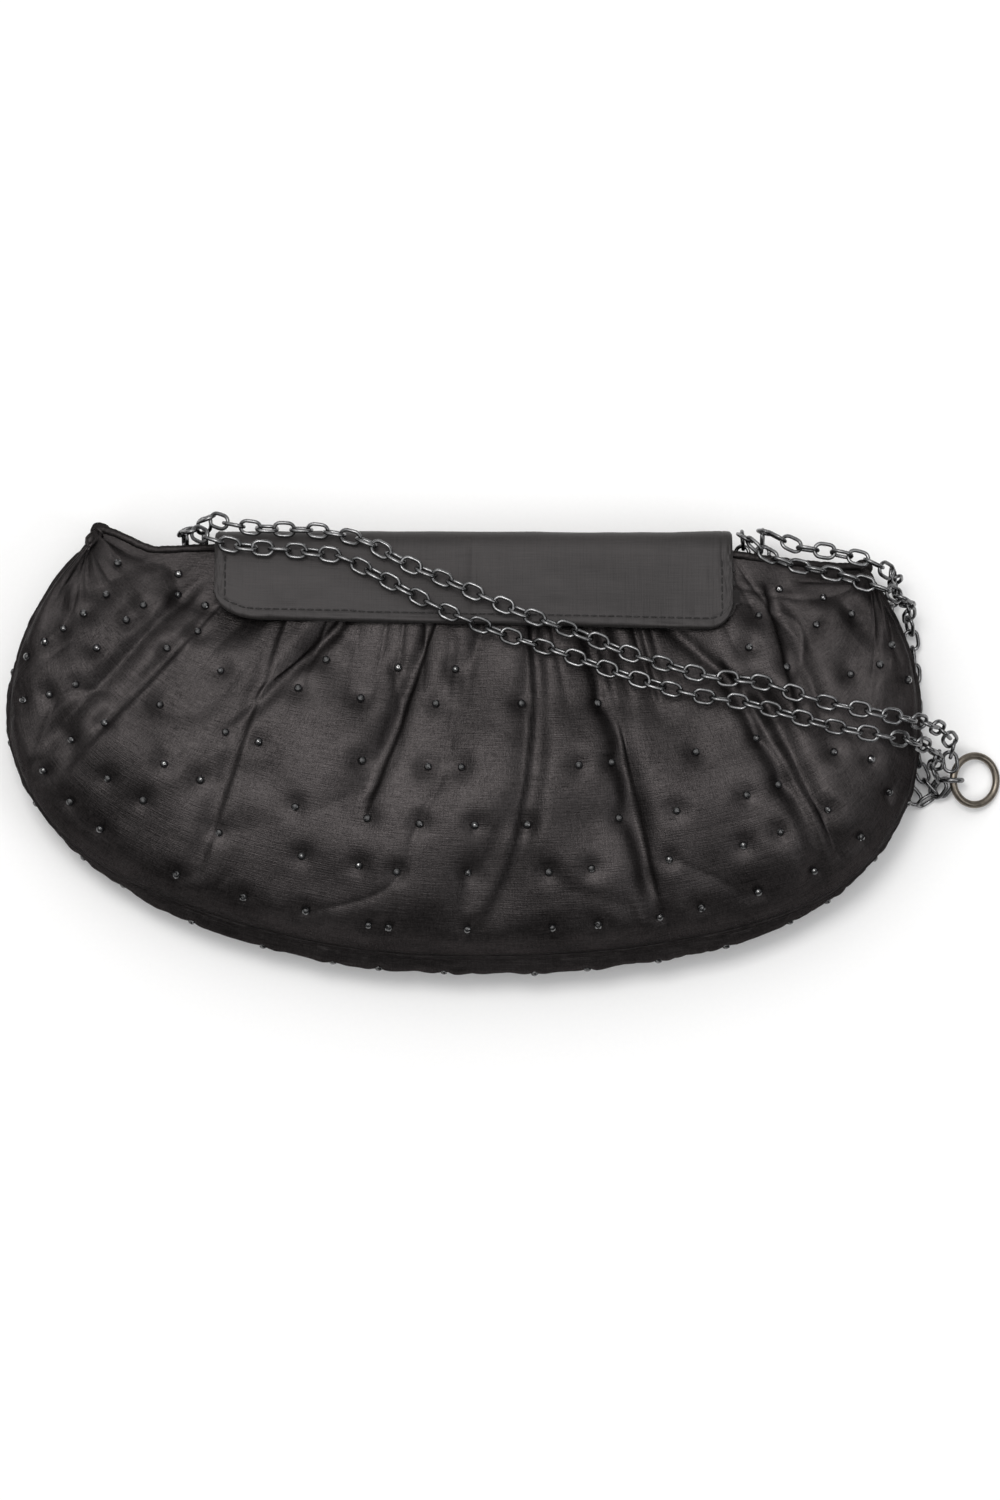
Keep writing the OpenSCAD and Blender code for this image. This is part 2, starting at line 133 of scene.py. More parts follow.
UPPER_FRONT = (
    (-79, 59.8, 18.2), (-79, 65.4, 18.6), (-79, 69.6, 21.5), (-77.5, 71.2, 26.2),
    (-71.5, 69.4, 29.8), (-63, 68, 30.9), (-54, 67.6, 31), (-43, 67, 31.4), (-30, 63.9, 33.2),
    (-18, 57.5, 35.2), (-5, 52, 36.8), (12, 44.5, 38.6), (22, 40.5, 39.8), (32, 37, 38.6),
    (41, 33.5, 37.8), (51, 29.5, 38.5), (61, 26.5, 39.5), (74, 23, 39.6), (88, 21.5, 38.8),
    (98, 18.5, 39), (110, 15, 39.2), (121, 12.8, 39.4), (128, 11.3, 38.3), (134, 10.2, 35.5),
    (139.8, 9, 30.5), (144.2, 7.5, 24.5), (147.5, 5, 18), (149.6, 2, 13.5), (149, -1.5, 9.8),
)
LOWER_SIDE = (
    (145.6, -12.1, 3.1), (141.5, -7.7, 3.1), (139, 0, 3.1), (138.6, 10, 3.1), (138.5, 22, 3.1),
    (138, 31, 3.3), (137, 38, 5.5), (136.4, 42.5, 10.5), (135.6, 44.5, 16), (134, 46.2, 23.5),
    (128, 49.2, 29.7), (120.4, 51.7, 28), (113, 54, 27.4), (104, 56, 27), (97, 57.8, 27.4),
    (90.5, 61, 28.2), (86.5, 64.4, 26.4), (85, 65.6, 22), (85, 64, 18.7), (85, 59.8, 18.4),
)
UPPER_SIDE = (
    (140, -15, 3.1), (135.8, -10, 3.1), (133.5, -3, 3.1), (132.5, 6, 3.1), (132.5, 26, 3.1),
    (131.8, 35, 3.1), (131.2, 42, 3.5), (131.6, 48, 6.5), (132, 51.5, 12), (131.2, 53.5, 18),
    (128.4, 55.5, 24), (121.5, 58.6, 27.4), (111, 61, 27.2), (102.5, 62.2, 27.4),
    (96.5, 64.8, 27.6), (92.6, 66.8, 24.8), (91.2, 66.6, 20.5), (91, 64, 18.4), (91, 59.8, 18.2),
)

# Where the last links of each strand reach into the rings at its two ends.
RING_ENDS = {
    "front_strand_lower": (((-84.4, 57.4, 18.6),), ((145.8, -8.3, 6.8),)),
    "front_strand_upper": (((-79.6, 57.4, 18.8),), ((149.5, -5.4, 8.9),)),
    "side_strand_lower": (((148.8, -8.9, 4.6),), ((85.6, 57.4, 18.8),)),
    "side_strand_upper": (((147.0, -9.2, 5.4), (143.8, -13.4, 3.3)), ((90.4, 57.4, 18.6),)),
}


class BagSizes(bpy.types.PropertyGroup):
    """Sizes that a maker would change."""

    bag_width: FloatProperty(
        name="Bag width", description="Width at the widest line", default=0.28, unit="LENGTH")
    flap_width: FloatProperty(
        name="Flap width", description="Width of the flap", default=0.157, unit="LENGTH")
    flap_reach: FloatProperty(
        name="Flap reach", description="Reach of the flap in front of its fold", default=0.0265,
        unit="LENGTH")
    flap_corner: FloatProperty(
        name="Flap corner", description="Radius of the flap's lower corners", default=0.008,
        unit="LENGTH")
    bead_radius: FloatProperty(
        name="Bead radius", description="Radius of a bead", default=0.00125, unit="LENGTH")
    link_pitch: FloatProperty(
        name="Link pitch", description="Distance from link to link", default=0.00505, unit="LENGTH")
    link_width: FloatProperty(
        name="Link width", description="Width over a link", default=0.0054, unit="LENGTH")
    link_wire: FloatProperty(
        name="Link wire", description="Thickness of the link wire", default=0.0012, unit="LENGTH")
    stitch_pitch: FloatProperty(
        name="Stitch pitch", description="Distance from stitch to stitch", default=0.0026,
        unit="LENGTH")
    seed: IntProperty(name="Seed", description="Seed of the creases and the links' lie", default=7)


class BagColours(bpy.types.PropertyGroup):
    """Colours that a maker would change."""

    satin: FloatVectorProperty(
        name="Satin", description="Colour of the gathered satin", subtype="COLOR",
        default=(0.0325, 0.0294, 0.0294))
    flap: FloatVectorProperty(
        name="Flap", description="Colour of the ribbed flap", subtype="COLOR",
        default=(0.0165, 0.0150, 0.0148))
    lining: FloatVectorProperty(
        name="Lining", description="Colour of the lining", subtype="COLOR",
        default=(0.008, 0.0075, 0.009))
    chain: FloatVectorProperty(
        name="Chain", description="Colour of the gunmetal chain", subtype="COLOR",
        default=(0.19, 0.19, 0.193))
    ring: FloatVectorProperty(
        name="Ring", description="Colour of the big ring", subtype="COLOR",
        default=(0.20, 0.175, 0.145))
    beads: FloatVectorProperty(
        name="Beads", description="Colour of the beads", subtype="COLOR",
        default=(0.004, 0.004, 0.0045))


# ---------------------------------------------------------------- shapes


def ease(t):
    """Smooth step from 0 to 1."""
    c = np.clip(t, 0, 1)
    return c * c * (3 - 2 * c)


def mix(a, b, t):
    """Straight blend of two values."""
    return a * (1 - t) + b * t


def unit(v):
    """Vectors scaled to length one."""
    return v / np.maximum(np.linalg.norm(v, axis=-1, keepdims=True), 1e-9)


def arch(u):
    """Half a sine wave over the length of the mouth."""
    return np.sin(np.pi * np.clip(u, 0, 1))


def outline(u):
    """Ellipse in plan, squarer at the lower right, from the mouth's left corner to its right."""
    s = 150 + 233 * u
    a = np.radians(s + 8 * np.sin(np.radians(2 * s)))
    low = np.sin(a) < 0
    e = np.where(low & (np.cos(a) > 0), 0.8, 1.0)
    half = bpy.context.scene.bag_sizes.bag_width / MM / 2
    x = half * np.sign(np.cos(a)) * np.abs(np.cos(a)) ** e
    y = WAIST_Y + np.where(low, BELLY, SHOULDER) * np.sign(np.sin(a)) * np.abs(np.sin(a)) ** e
    return np.stack([x, y], -1)


def outward(u):
    """Unit vector in plan that points out of the outline."""
    d = unit(outline(u + 0.003) - outline(u - 0.003))
    return np.stack([d[..., 1], -d[..., 0]], -1)


def seam_inset(u):
    """How far the seams lie inside the outline: least at the sides, most along the bottom."""
    return 2 + 4 * ease((arch(u) - 0.6) / 0.35)


def seam_plan(u):
    """Seam in plan: the outline moved inwards."""
    return outline(u) - seam_inset(u)[..., None] * outward(u)


def mouth_plan(u):
    """Mouth in plan: straight under the flap, with a dip at the left and a fall at the right."""
    ends = outline(np.array([0.0, 1.0]))
    left, right = ends[:, 1] - MOUTH_Y
    dip = 0.6 * ease(u / 0.03) * np.exp(-(((u - 0.085) / 0.035) ** 2))
    y = MOUTH_Y + left * (1 - ease(u / 0.08)) + right * ease((u - 0.72) / 0.26) - dip
    return np.stack([mix(ends[0, 0], ends[1, 0], u), y], -1)


def level(u, corner_side, middle):
    """Height along a seam or edge: from the corners' height to the one given in the middle."""
    return mix(CORNER_Z + corner_side * CORNER_GAP / 2, middle, arch(u) ** 0.5)


def panel_plan(u, v):
    """Plan place a share v of the way from the mouth to the seam, clear of the bound mouth edge."""
    m, s = mouth_plan(u), seam_plan(u)
    share = (BINDING + MOUTH_MARGIN * (2 - arch(u) ** 0.5)) / np.linalg.norm(s - m, axis=-1)
    share = np.minimum(share, 0.9) * ease((v + 0.02) / 0.08)
    return mix(m, s, (share + (1 - share) * v)[..., None])


def puff(v):
    """Crown of the padded front across the bag: gentle at the mouth, full and steep at the seam."""
    return (v / 0.706) ** 1.2 * (np.maximum(1 - v, 0) / 0.294) ** 0.5


def folds(u, v):
    """Depth of the main folds: for each, a sharp valley across u that starts and ends along v."""
    total = np.zeros(np.broadcast(u, v).shape)
    for place, lean, width, depth, start, end in FOLDS:
        along = ease((v - start) / 0.15) * (1 - ease((v - end + 0.2) / 0.2))
        total += depth * along / (1 + ((u - place - lean * v) / width) ** 2) ** 1.5
    return total * ease(v / 0.08) * ease((1 - v) / 0.1)


def tucks(u, v):
    """Lip and groove of each tuck, along a parabola through its three places.

    The lip is a smooth step that fades away behind it; the groove is a bell just in front of it.
    """
    total = np.zeros(np.broadcast(u, v).shape)
    for first, middle, last, start, end, step, side in TUCKS:
        line = np.polyval(np.polyfit(TUCK_DEPTHS, (first, middle, last), 2), v)
        q = (u - line) * 250 * side
        lip = ease((q + 0.6) / 1.2) * np.exp(-np.maximum(q, 0) / 8)
        groove = np.exp(-(((q + 1.5) / 1.9) ** 2))
        along_it = ease((v - start) / 0.1) * (1 - ease((v - end + 0.14) / 0.14))
        total += step * along_it * (lip - 0.9 * groove)
    return total * ease((1 - v) / 0.05)


def front_at(u, v, fold=1.0, lift=SEAM_LIFT):
    """Front surface: straight from mouth to seam in plan, raised by the crown, lowered by folds."""
    p = panel_plan(u, v)
    edge = mix(level(u, 1, FRONT_MOUTH_Z), level(u, 1, FRONT_SEAM_Z) + lift, v)
    z = edge + SWELL * arch(u) ** 0.45 * puff(v) - fold * folds(u, v)
    return np.concatenate([p, z[..., None]], -1)


def back_at(u, v):
    """Back surface: flat in its middle, rising in two parabolas to the mouth and to the seam."""
    p = panel_plan(u, v)
    edge = mix(level(u, -1, BACK_MOUTH_Z), level(u, -1, BACK_SEAM_Z) - SEAM_LIFT, v)
    near = BACK_MOUTH_Z * (1 - np.minimum(v / FLAT_FROM, 1)) ** 2
    far = (BACK_SEAM_Z - SEAM_LIFT) * (np.maximum(v - FLAT_TO, 0) / (1 - FLAT_TO)) ** 2
    z = mix(edge, near + far, ease(arch(u) / 0.55))
    return np.concatenate([p, z[..., None]], -1)


def gusset_at(u, w):
    """Band between the seams: a bowed strip that reaches the outline halfway down."""
    low = level(u, -1, BACK_SEAM_Z) + 0.3 * PIPING
    high = level(u, 1, FRONT_SEAM_Z) - 0.3 * PIPING
    bow = seam_inset(u) * (1 - np.clip(np.sin(np.pi * w), 0, 1) ** 0.8)
    p = outline(u) - outward(u) * bow[..., None]
    return np.concatenate([p, mix(high, low, w)[..., None]], -1)


def flap_level(x, y):
    """Height of the flap where it lies on the front, a little higher along its middle."""
    across = (x - FLAP_X) / (bpy.context.scene.bag_sizes.flap_width / MM / 2)
    d = FOLD[0] - y
    return FOLD[1] + 0.2 * d + 0.05 * d * (1 - across ** 2)


def flap_at(u, v):
    """Flap: rises from the back edge, folds over along a pulled curve, lies to its lower edge."""
    sizes = bpy.context.scene.bag_sizes
    width, reach, corner = (k / MM for k in (sizes.flap_width, sizes.flap_reach, sizes.flap_corner))
    share = (1 - np.cos(np.pi * u)) / 2
    x = FLAP_X + width * (share - 0.5)
    long = np.where(x < FLAP_X, LEFT_CORNER, corner)
    over = np.maximum(np.abs(x - FLAP_X) - width / 2 + long, 0) / long
    cut = corner * (1 - np.sqrt(np.maximum(1 - over ** 2, 0)))
    near = FOLD[0] - FOLD_DEPTH
    lies = reach - FOLD_DEPTH + FLAP_SLANT * (share - 1) - cut
    y = near - lies * (v - FOLD_SHARE) / (1 - FOLD_SHARE)
    top = flap_level(x, near)
    t = np.clip(v / FOLD_SHARE, 0, 1)
    a, b, c = (1 - t) ** 2, 2 * t * (1 - t), t * t
    by = a * (HINGE[0] + 0.6) + b * (FOLD[0] + 6.8) + c * near
    bz = a * (HINGE[1] + 1.7) + b * (top - 1.2) + c * top
    bend = v < FOLD_SHARE
    return np.stack([x + 0 * v, np.where(bend, by, y), np.where(bend, bz, flap_level(x, y))], -1)


def normals(points):
    """Unit normals of a grid of points, from the cross product of its two directions."""
    return unit(np.cross(np.gradient(points, axis=1), np.gradient(points, axis=0)))


def noise(u, v, seed):
    """Value noise from -1 to 1: random numbers on a lattice, blended smoothly in between."""
    table = np.random.default_rng(seed).uniform(-1, 1, (256, 256))
    i, j = np.floor(u).astype(int), np.floor(v).astype(int)
    a, b = ease(u - i), ease(v - j)
    top = mix(table[i % 256, j % 256], table[(i + 1) % 256, j % 256], a)
    low = mix(table[i % 256, (j + 1) % 256], table[(i + 1) % 256, (j + 1) % 256], a)
    return mix(top, low, b)


def creases(u, v, seed):
    """Ridged noise from 0 to 1: one minus the size of a noise, so its zero lines are creases."""
    return 1 - np.abs(noise(u, v, seed))


def parameter_grid(us, vs, cols, rows, dense=1.0):
    """Grids of u and v; a dense above 1 gathers the rows towards the far edge."""
    u = np.linspace(us[0], us[1], cols + 1)
    t = np.linspace(0, 1, rows + 1)
    v = mix(vs[0], vs[1], 1 - (1 - t) ** dense)
    return np.meshgrid(u, v, indexing="ij")


# ---------------------------------------------------------------- meshes


def make_mesh(name, points, faces, uv=None, smooth=True):
    """Object from points in millimetres and an array of faces; uv holds one pair for each point."""
    mesh = bpy.data.meshes.new(name)
    points = np.asarray(points, float).reshape(-1, 3) * MM
    faces = np.asarray(faces, np.int32)
    mesh.vertices.add(len(points))
    mesh.vertices.foreach_set("co", points.astype(np.float32).ravel())
    mesh.loops.add(faces.size)
    mesh.loops.foreach_set("vertex_index", faces.ravel())
    mesh.polygons.add(len(faces))
    mesh.polygons.foreach_set("loop_start", np.arange(len(faces), dtype=np.int32) * faces.shape[1])
    mesh.polygons.foreach_set("use_smooth", np.full(len(faces), smooth))
    mesh.update(calc_edges=True)
    if uv is not None:
        layer = mesh.uv_layers.new(name="UVMap")
        flat = np.asarray(uv, np.float32).reshape(-1, 2)[faces.ravel()]
        layer.data.foreach_set("uv", flat.ravel())
    mesh.validate()
    piece = bpy.data.objects.new(name, mesh)
    bpy.context.scene.collection.objects.link(piece)
    return piece


def grid_faces(cols, rows, wrap=False):
    """Quads of a grid of cols + 1 by rows + 1 points, wound from v to u; wrap closes it on v."""
    span = rows + (0 if wrap else 1)
    i, j = np.meshgrid(np.arange(cols), np.arange(rows), indexing="ij")
    k = (j + 1) % span if wrap else j + 1
    quads = [i * span + j, i * span + k, (i + 1) * span + k, (i + 1) * span + j]
    return np.stack(quads, -1).reshape(-1, 4)


def cloth_uv(points):
    """Coordinates in metres along the cloth: lengths added up along each direction of the grid."""
    du = np.linalg.norm(np.diff(points, axis=0), axis=-1).mean(axis=1)
    dv = np.linalg.norm(np.diff(points, axis=1), axis=-1).max(axis=0)
    u = np.concatenate([[0], np.cumsum(du)])
    v = np.concatenate([[0], np.cumsum(dv)])
    return np.stack(np.meshgrid(u, v, indexing="ij"), -1) * MM


def make_shell(name, near, thickness, material, flip=False):
    """Closed shell between a grid of points and the same grid moved inwards by the thickness."""
    cols, rows = near.shape[0] - 1, near.shape[1] - 1
    inward = normals(near) * (1 if flip else -1)
    far = near + inward * (thickness if np.isscalar(thickness) else thickness[..., None])
    count = (cols + 1) * (rows + 1)
    faces = grid_faces(cols, rows)
    edge = np.concatenate([
        np.arange(cols) * (rows + 1),
        cols * (rows + 1) + np.arange(rows),
        np.arange(cols, 0, -1) * (rows + 1) + rows,
        np.arange(rows, 0, -1)])
    nxt = np.roll(edge, -1)
    walls = np.stack([edge, nxt, nxt + count, edge + count], -1)
    quads = np.concatenate([faces, faces[:, ::-1] + count, walls])
    if flip:
        quads = quads[:, ::-1]
    uv = cloth_uv(near).reshape(-1, 2)
    piece = make_mesh(name, np.concatenate([near.reshape(-1, 3), far.reshape(-1, 3)]), quads,
                      np.concatenate([uv, uv]))
    piece.data.materials.append(material)
    return piece


def along(path):
    """Unit tangents of a list of points."""
    return unit(np.gradient(path, axis=0))


def frames(path):
    """Tangent and two unit vectors across a path at each point, level unless it runs along Z."""
    t = along(path)
    ref = np.where(np.abs(t[:, 2:]) > 0.92, (0.0, 1.0, 0.0), (0.0, 0.0, 1.0))
    a = unit(np.cross(ref, t))
    return t, a, np.cross(t, a)


def tube_points(path, radii, sides):
    """Ring of points round each point of a path; radii holds one radius for each of them."""
    _, a, b = frames(path)
    g = np.linspace(0, 2 * np.pi, sides, endpoint=False)
    return path[:, None] + radii[..., None] * (
        a[:, None] * np.cos(g)[None, :, None] + b[:, None] * np.sin(g)[None, :, None])


def make_tube(name, path, radii, sides, material):
    """Tube along an open path, closed at both ends by a point."""
    rings = tube_points(path, radii, sides)
    count = len(path)
    skin = grid_faces(count - 1, sides, wrap=True)
    points = np.concatenate([rings.reshape(-1, 3), path[:1], path[-1:]])
    s = np.arange(sides)
    n = (s + 1) % sides
    first = np.stack([n, s, np.full(sides, count * sides)], -1)
    last = (count - 1) * sides
    end = np.stack([last + s, last + n, np.full(sides, count * sides + 1)], -1)
    length = np.concatenate([[0], np.cumsum(np.linalg.norm(np.diff(path, axis=0), axis=1))])
    uv = np.stack(np.meshgrid(length, 6.28 * s / sides, indexing="ij"), -1).reshape(-1, 2) * MM
    uv = np.concatenate([uv, [[0, 0], [0, 0]]])
    piece = join_faces(name, points, [skin, first, end], uv)
    piece.data.materials.append(material)
    return piece


def remove_doubles(piece):
    """Merges points that lie together, so a pole is one point, and turns the faces outwards."""
    work = bmesh.new()
    work.from_mesh(piece.data)
    bmesh.ops.remove_doubles(work, verts=work.verts, dist=1e-6)
    bmesh.ops.dissolve_degenerate(work, edges=work.edges, dist=1e-7)
    bmesh.ops.recalc_face_normals(work, faces=work.faces)
    work.to_mesh(piece.data)
    work.free()


def join_faces(name, points, groups, uv):
    """Object from groups of faces with different numbers of corners."""
    mesh = bpy.data.meshes.new(name)
    faces = [tuple(f) for group in groups for f in group.tolist()]
    mesh.from_pydata((np.asarray(points) * MM).tolist(), [], faces)
    loops = np.empty(len(mesh.loops), np.int32)
    mesh.loops.foreach_get("vertex_index", loops)
    layer = mesh.uv_layers.new(name="UVMap")
    layer.data.foreach_set("uv", np.asarray(uv, np.float32)[loops].ravel())
    mesh.polygons.foreach_set("use_smooth", np.full(len(mesh.polygons), True))
    mesh.update()
    piece = bpy.data.objects.new(name, mesh)
    bpy.context.scene.collection.objects.link(piece)
    return piece


def make_copies(name, points, faces, places, material, smooth=True):
    """One mesh of many copies of a small shape: places holds a 3 by 4 matrix for each copy."""
    places = np.asarray(places)
    moved = np.einsum("kij,nj->kni", places[:, :, :3], points) + places[:, None, :, 3]
    shift = np.arange(len(places))[:, None, None] * len(points)
    quads = (faces[None] + shift).reshape(-1, faces.shape[1])
    piece = make_mesh(name, moved.reshape(-1, 3), quads, smooth=smooth)
    piece.data.materials.append(material)
    return piece


def torus(radius, wire, around, sides):
    """Points and quads of a ring about Z: a circle of wire carried round a larger circle."""
    a = np.linspace(0, 2 * np.pi, around, endpoint=False)[:, None]
    b = np.linspace(0, 2 * np.pi, sides, endpoint=False)[None]
    r = radius + wire * np.cos(b)
    points = np.stack([r * np.cos(a), r * np.sin(a), wire * np.sin(b) + 0 * a], -1)
    i, j = np.meshgrid(np.arange(around), np.arange(sides), indexing="ij")
    k, m = (i + 1) % around, (j + 1) % sides
    quads = np.stack([i * sides + j, k * sides + j, k * sides + m, i * sides + m], -1)
    return points.reshape(-1, 3), quads.reshape(-1, 4)


def route(points, spacing=1.0):
    """Even points on a smooth curve through a route: Catmull-Rom between each pair of points."""
    p = np.array(points, float)
    ext = np.concatenate([[2 * p[0] - p[1]], p, [2 * p[-1] - p[-2]]])
    t = np.linspace(0, 1, 12, endpoint=False)[:, None, None]
    a, b, c, d = ext[:-3], ext[1:-2], ext[2:-1], ext[3:]
    curve = 0.5 * (2 * b + (c - a) * t + (2 * a - 5 * b + 4 * c - d) * t ** 2
                   + (3 * b - a - 3 * c + d) * t ** 3)
    fine = np.concatenate([curve.transpose(1, 0, 2).reshape(-1, 3), p[-1:]])
    steps = np.concatenate([[0], np.cumsum(np.linalg.norm(np.diff(fine, axis=0), axis=1))])
    even = np.linspace(0, steps[-1], int(round(steps[-1] / spacing)) + 1)
    return np.stack([np.interp(even, steps, fine[:, k]) for k in range(3)], -1), steps[-1]


def island_centres(node, reach):
    """Middle of each small solid of a CAD node, found by gathering the points within its reach."""
    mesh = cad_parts[node].data
    co = np.empty(len(mesh.vertices) * 3, np.float32)
    mesh.vertices.foreach_get("co", co)
    co = co.reshape(-1, 3) / MM
    centres = []
    while len(co):
        near = np.linalg.norm(co - co[0], axis=1) < reach
        centres.append((co[near].min(0) + co[near].max(0)) / 2)
        co = co[~near]
    return np.array(centres)


def nearest(points, targets):
    """Index of the point nearest to each target."""
    return np.array([np.argmin(((points - t) ** 2).sum(-1)) for t in targets])


# ---------------------------------------------------------------- finishes


class Wire:
    """Output of a shader node that can stand in a formula; each operator adds a Math node."""

    def __init__(self, finish, socket):
        self.finish = finish
        self.socket = socket

    def maths(self, operation, *values):
        return self.finish.node("ShaderNodeMath", {"operation": operation}, dict(enumerate(values)))

    def __add__(self, other):
        return self.maths("ADD", self, other)

    __radd__ = __add__

    def __mul__(self, other):
        return self.maths("MULTIPLY", self, other)

    __rmul__ = __mul__

    def __pow__(self, other):
        return self.maths("POWER", self, other)


class Board:
    """Node tree of a material or world, with one method that adds any node."""

    def __init__(self, owner):
        owner.use_nodes = True
        self.tree = owner.node_tree

    def node(self, kind, settings=None, values=None, out=0):
        made = self.tree.nodes.new(kind)
        for key, value in (settings or {}).items():
            setattr(made, key, value)
        for key, value in (values or {}).items():
            if isinstance(value, Wire):
                self.tree.links.new(value.socket, made.inputs[key])
            else:
                made.inputs[key].default_value = value
        return Wire(self, made.outputs[out])


class Finish(Board):
    """Material with one Principled shader and the patterns that feed it."""

    def __init__(self, name, **values):
        self.material = bpy.data.materials.new(name)
        super().__init__(self.material)
        self.shader = next(n for n in self.tree.nodes if n.type == "BSDF_PRINCIPLED")
        for key, value in values.items():
            self.shader.inputs[key.replace("_", " ")].default_value = value

    def feed(self, key, wire):
        self.tree.links.new(wire.socket, self.shader.inputs[key])

    def place(self, source="Object", scale=(1, 1, 1)):
        """Coordinates of the object or of the cloth, stretched."""
        coords = self.node("ShaderNodeTexCoord", out=source)
        return self.node("ShaderNodeMapping", None, {"Vector": coords, "Scale": scale})

    def noise(self, coords, scale=1.0, detail=2.0, rough=0.5):
        return self.node("ShaderNodeTexNoise", None, {
            "Vector": coords, "Scale": scale, "Detail": detail, "Roughness": rough})

    def colours(self, factor, a, b):
        return self.node("ShaderNodeMix", {"data_type": "RGBA"}, {
            0: factor, 6: (*a, 1), 7: (*b, 1)}, out=2)

    def bump(self, height, distance, strength):
        return self.node("ShaderNodeBump", None, {
            "Height": height, "Distance": distance, "Strength": strength})


def shade(colour, factor):
    """Colour made lighter or darker."""
    return tuple(min(c * factor, 1.0) for c in colour)


def satin_finish(name, colour, rough=0.33):
    """Satin: fine threads along the cloth, soft streaks, slubs and a gloss that fades at edges."""
    f = Finish(name, Metallic=0.85, Specular_IOR_Level=0.10,
               Specular_Tint=(0.30, 0.29, 0.29, 1), IOR=1.5)
    threads = f.noise(f.place("UV", (130, 2600, 1)), 1.0, 3.0, 0.62)
    cross = f.noise(f.place("UV", (2400, 260, 1)), 1.0, 2.0, 0.5)
    grain = f.noise(f.place("Object"), 2100.0, 2.0, 0.7)
    patches = f.noise(f.place("Object"), 38.0, 3.0, 0.55)
    tone = threads * 0.35 + cross * 0.2 + grain * 0.35 + patches * 0.35
    f.feed("Base Color", f.colours(f.node("ShaderNodeMapRange", None, {
        "Value": tone, "From Min": 0.45, "From Max": 0.80}),
        shade(colour, 0.35), shade(colour, 1.9)))
    f.feed("Roughness", rough - 0.17 + threads * 0.12 + grain * 0.14 + patches * 0.12)
    weave = threads * 0.45 + cross * 0.2 + grain * 0.35
    f.feed("Normal", f.bump(weave, 0.0004, 0.7))
    return f.material


def ribbed_finish(name, colour):
    """Ribbed cloth: fine cords across the flap, thread lines along it, a dull finish."""
    f = Finish(name, Specular_IOR_Level=0.40, Specular_Tint=(1.0, 0.96, 0.97, 1), IOR=1.48,
               Sheen_Weight=0.05, Sheen_Roughness=0.5, Sheen_Tint=(0.85, 0.82, 0.80, 1))
    cords = f.noise(f.place("UV", (1500, 60, 1)), 1.0, 2.0, 0.6)
    threads = f.noise(f.place("UV", (110, 2400, 1)), 1.0, 2.0, 0.6)
    patches = f.noise(f.place("UV", (9, 46, 1)), 1.0, 3.0, 0.6)
    tone = cords * 0.35 + threads * 0.3 + patches * 0.7
    f.feed("Base Color", f.colours(f.node("ShaderNodeMapRange", None, {
        "Value": tone, "From Min": 0.48, "From Max": 0.88}),
        shade(colour, 0.5), shade(colour, 1.9)))
    f.feed("Roughness", 0.46 + cords * 0.10 + patches * 0.10)
    f.feed("Normal", f.bump(cords * 0.6 + threads * 0.4, 0.00022, 0.7))
    return f.material


def metal_finish(name, colour, rough, worn=0.5):
    """Plated metal: darker in patches, fine scratches, a little unevenness in its gloss."""
    f = Finish(name, Metallic=1.0)
    cloud = f.noise(f.place("Object"), 420.0, 4.0, 0.6)
    scratch = f.noise(f.place("Object", (9000, 900, 2600)), 1.0, 2.0, 0.6)
    f.feed("Base Color", f.colours(f.node("ShaderNodeMapRange", None, {
        "Value": cloud * 0.7 + scratch * 0.3, "From Min": 0.36, "From Max": 0.66}),
        shade(colour, 1 - worn), shade(colour, 1 + 0.6 * worn)))
    f.feed("Roughness", rough - 0.06 + cloud * 0.10 + scratch * 0.08)
    f.feed("Normal", f.bump(scratch + cloud, 0.00003, 0.35))
    return f.material


def bead_finish(name, colour):
    """Cut black glass: deep gloss under a thin clear coat, slightly dulled facets."""
    f = Finish(name, Specular_IOR_Level=0.7, IOR=1.5, Coat_Roughness=0.04)
    cloud = f.noise(f.place("Object"), 900.0, 2.0, 0.5)
    f.feed("Base Color", f.colours(cloud, shade(colour, 0.6), shade(colour, 2.4)))
    f.feed("Roughness", 0.05 + cloud * 0.10)
    f.feed("Coat Weight", 0.5 + cloud * 0.2)
    return f.material


def plain_cloth_finish(name, colour, rough, grain):
    """Unseen cloth, wadding or board: grain at its own scale in colour, gloss and relief."""
    f = Finish(name, Specular_IOR_Level=0.3)
    cloud = f.noise(f.place("Object"), grain, 4.0, 0.6)
    f.feed("Base Color", f.colours(cloud, shade(colour, 0.7), shade(colour, 1.3)))
    f.feed("Roughness", rough - 0.05 + cloud * 0.1)
    f.feed("Normal", f.bump(cloud, 0.0002, 0.5))
    return f.material


FINISHES = {}


def finish(name):
    """Material by name, made once."""
    c = bpy.context.scene.bag_colours
    makers = {
        "satin": lambda: satin_finish("satin", c.satin),
        "satin_trim": lambda: satin_finish("satin_trim", shade(c.satin, 0.85), 0.44),
        "flap_cloth": lambda: ribbed_finish("flap_cloth", c.flap),
        "lining": lambda: satin_finish("lining", c.lining, 0.5),
        "thread": lambda: plain_cloth_finish("thread", shade(c.flap, 0.9), 0.5, 3000.0),
        "gunmetal": lambda: metal_finish("gunmetal", c.chain, 0.22, 0.5),
        "antique": lambda: metal_finish("antique", c.ring, 0.34, 0.35),
        "magnet": lambda: metal_finish("magnet", (0.5, 0.5, 0.49), 0.4, 0.3),
        "beads": lambda: bead_finish("beads", c.beads),
        "wadding": lambda: plain_cloth_finish("wadding", (0.78, 0.76, 0.71), 0.95, 900.0),
        "board": lambda: plain_cloth_finish("board", (0.55, 0.5, 0.42), 0.8, 1500.0),
    }
    if name not in FINISHES:
        FINISHES[name] = makers[name]()
    return FINISHES[name]


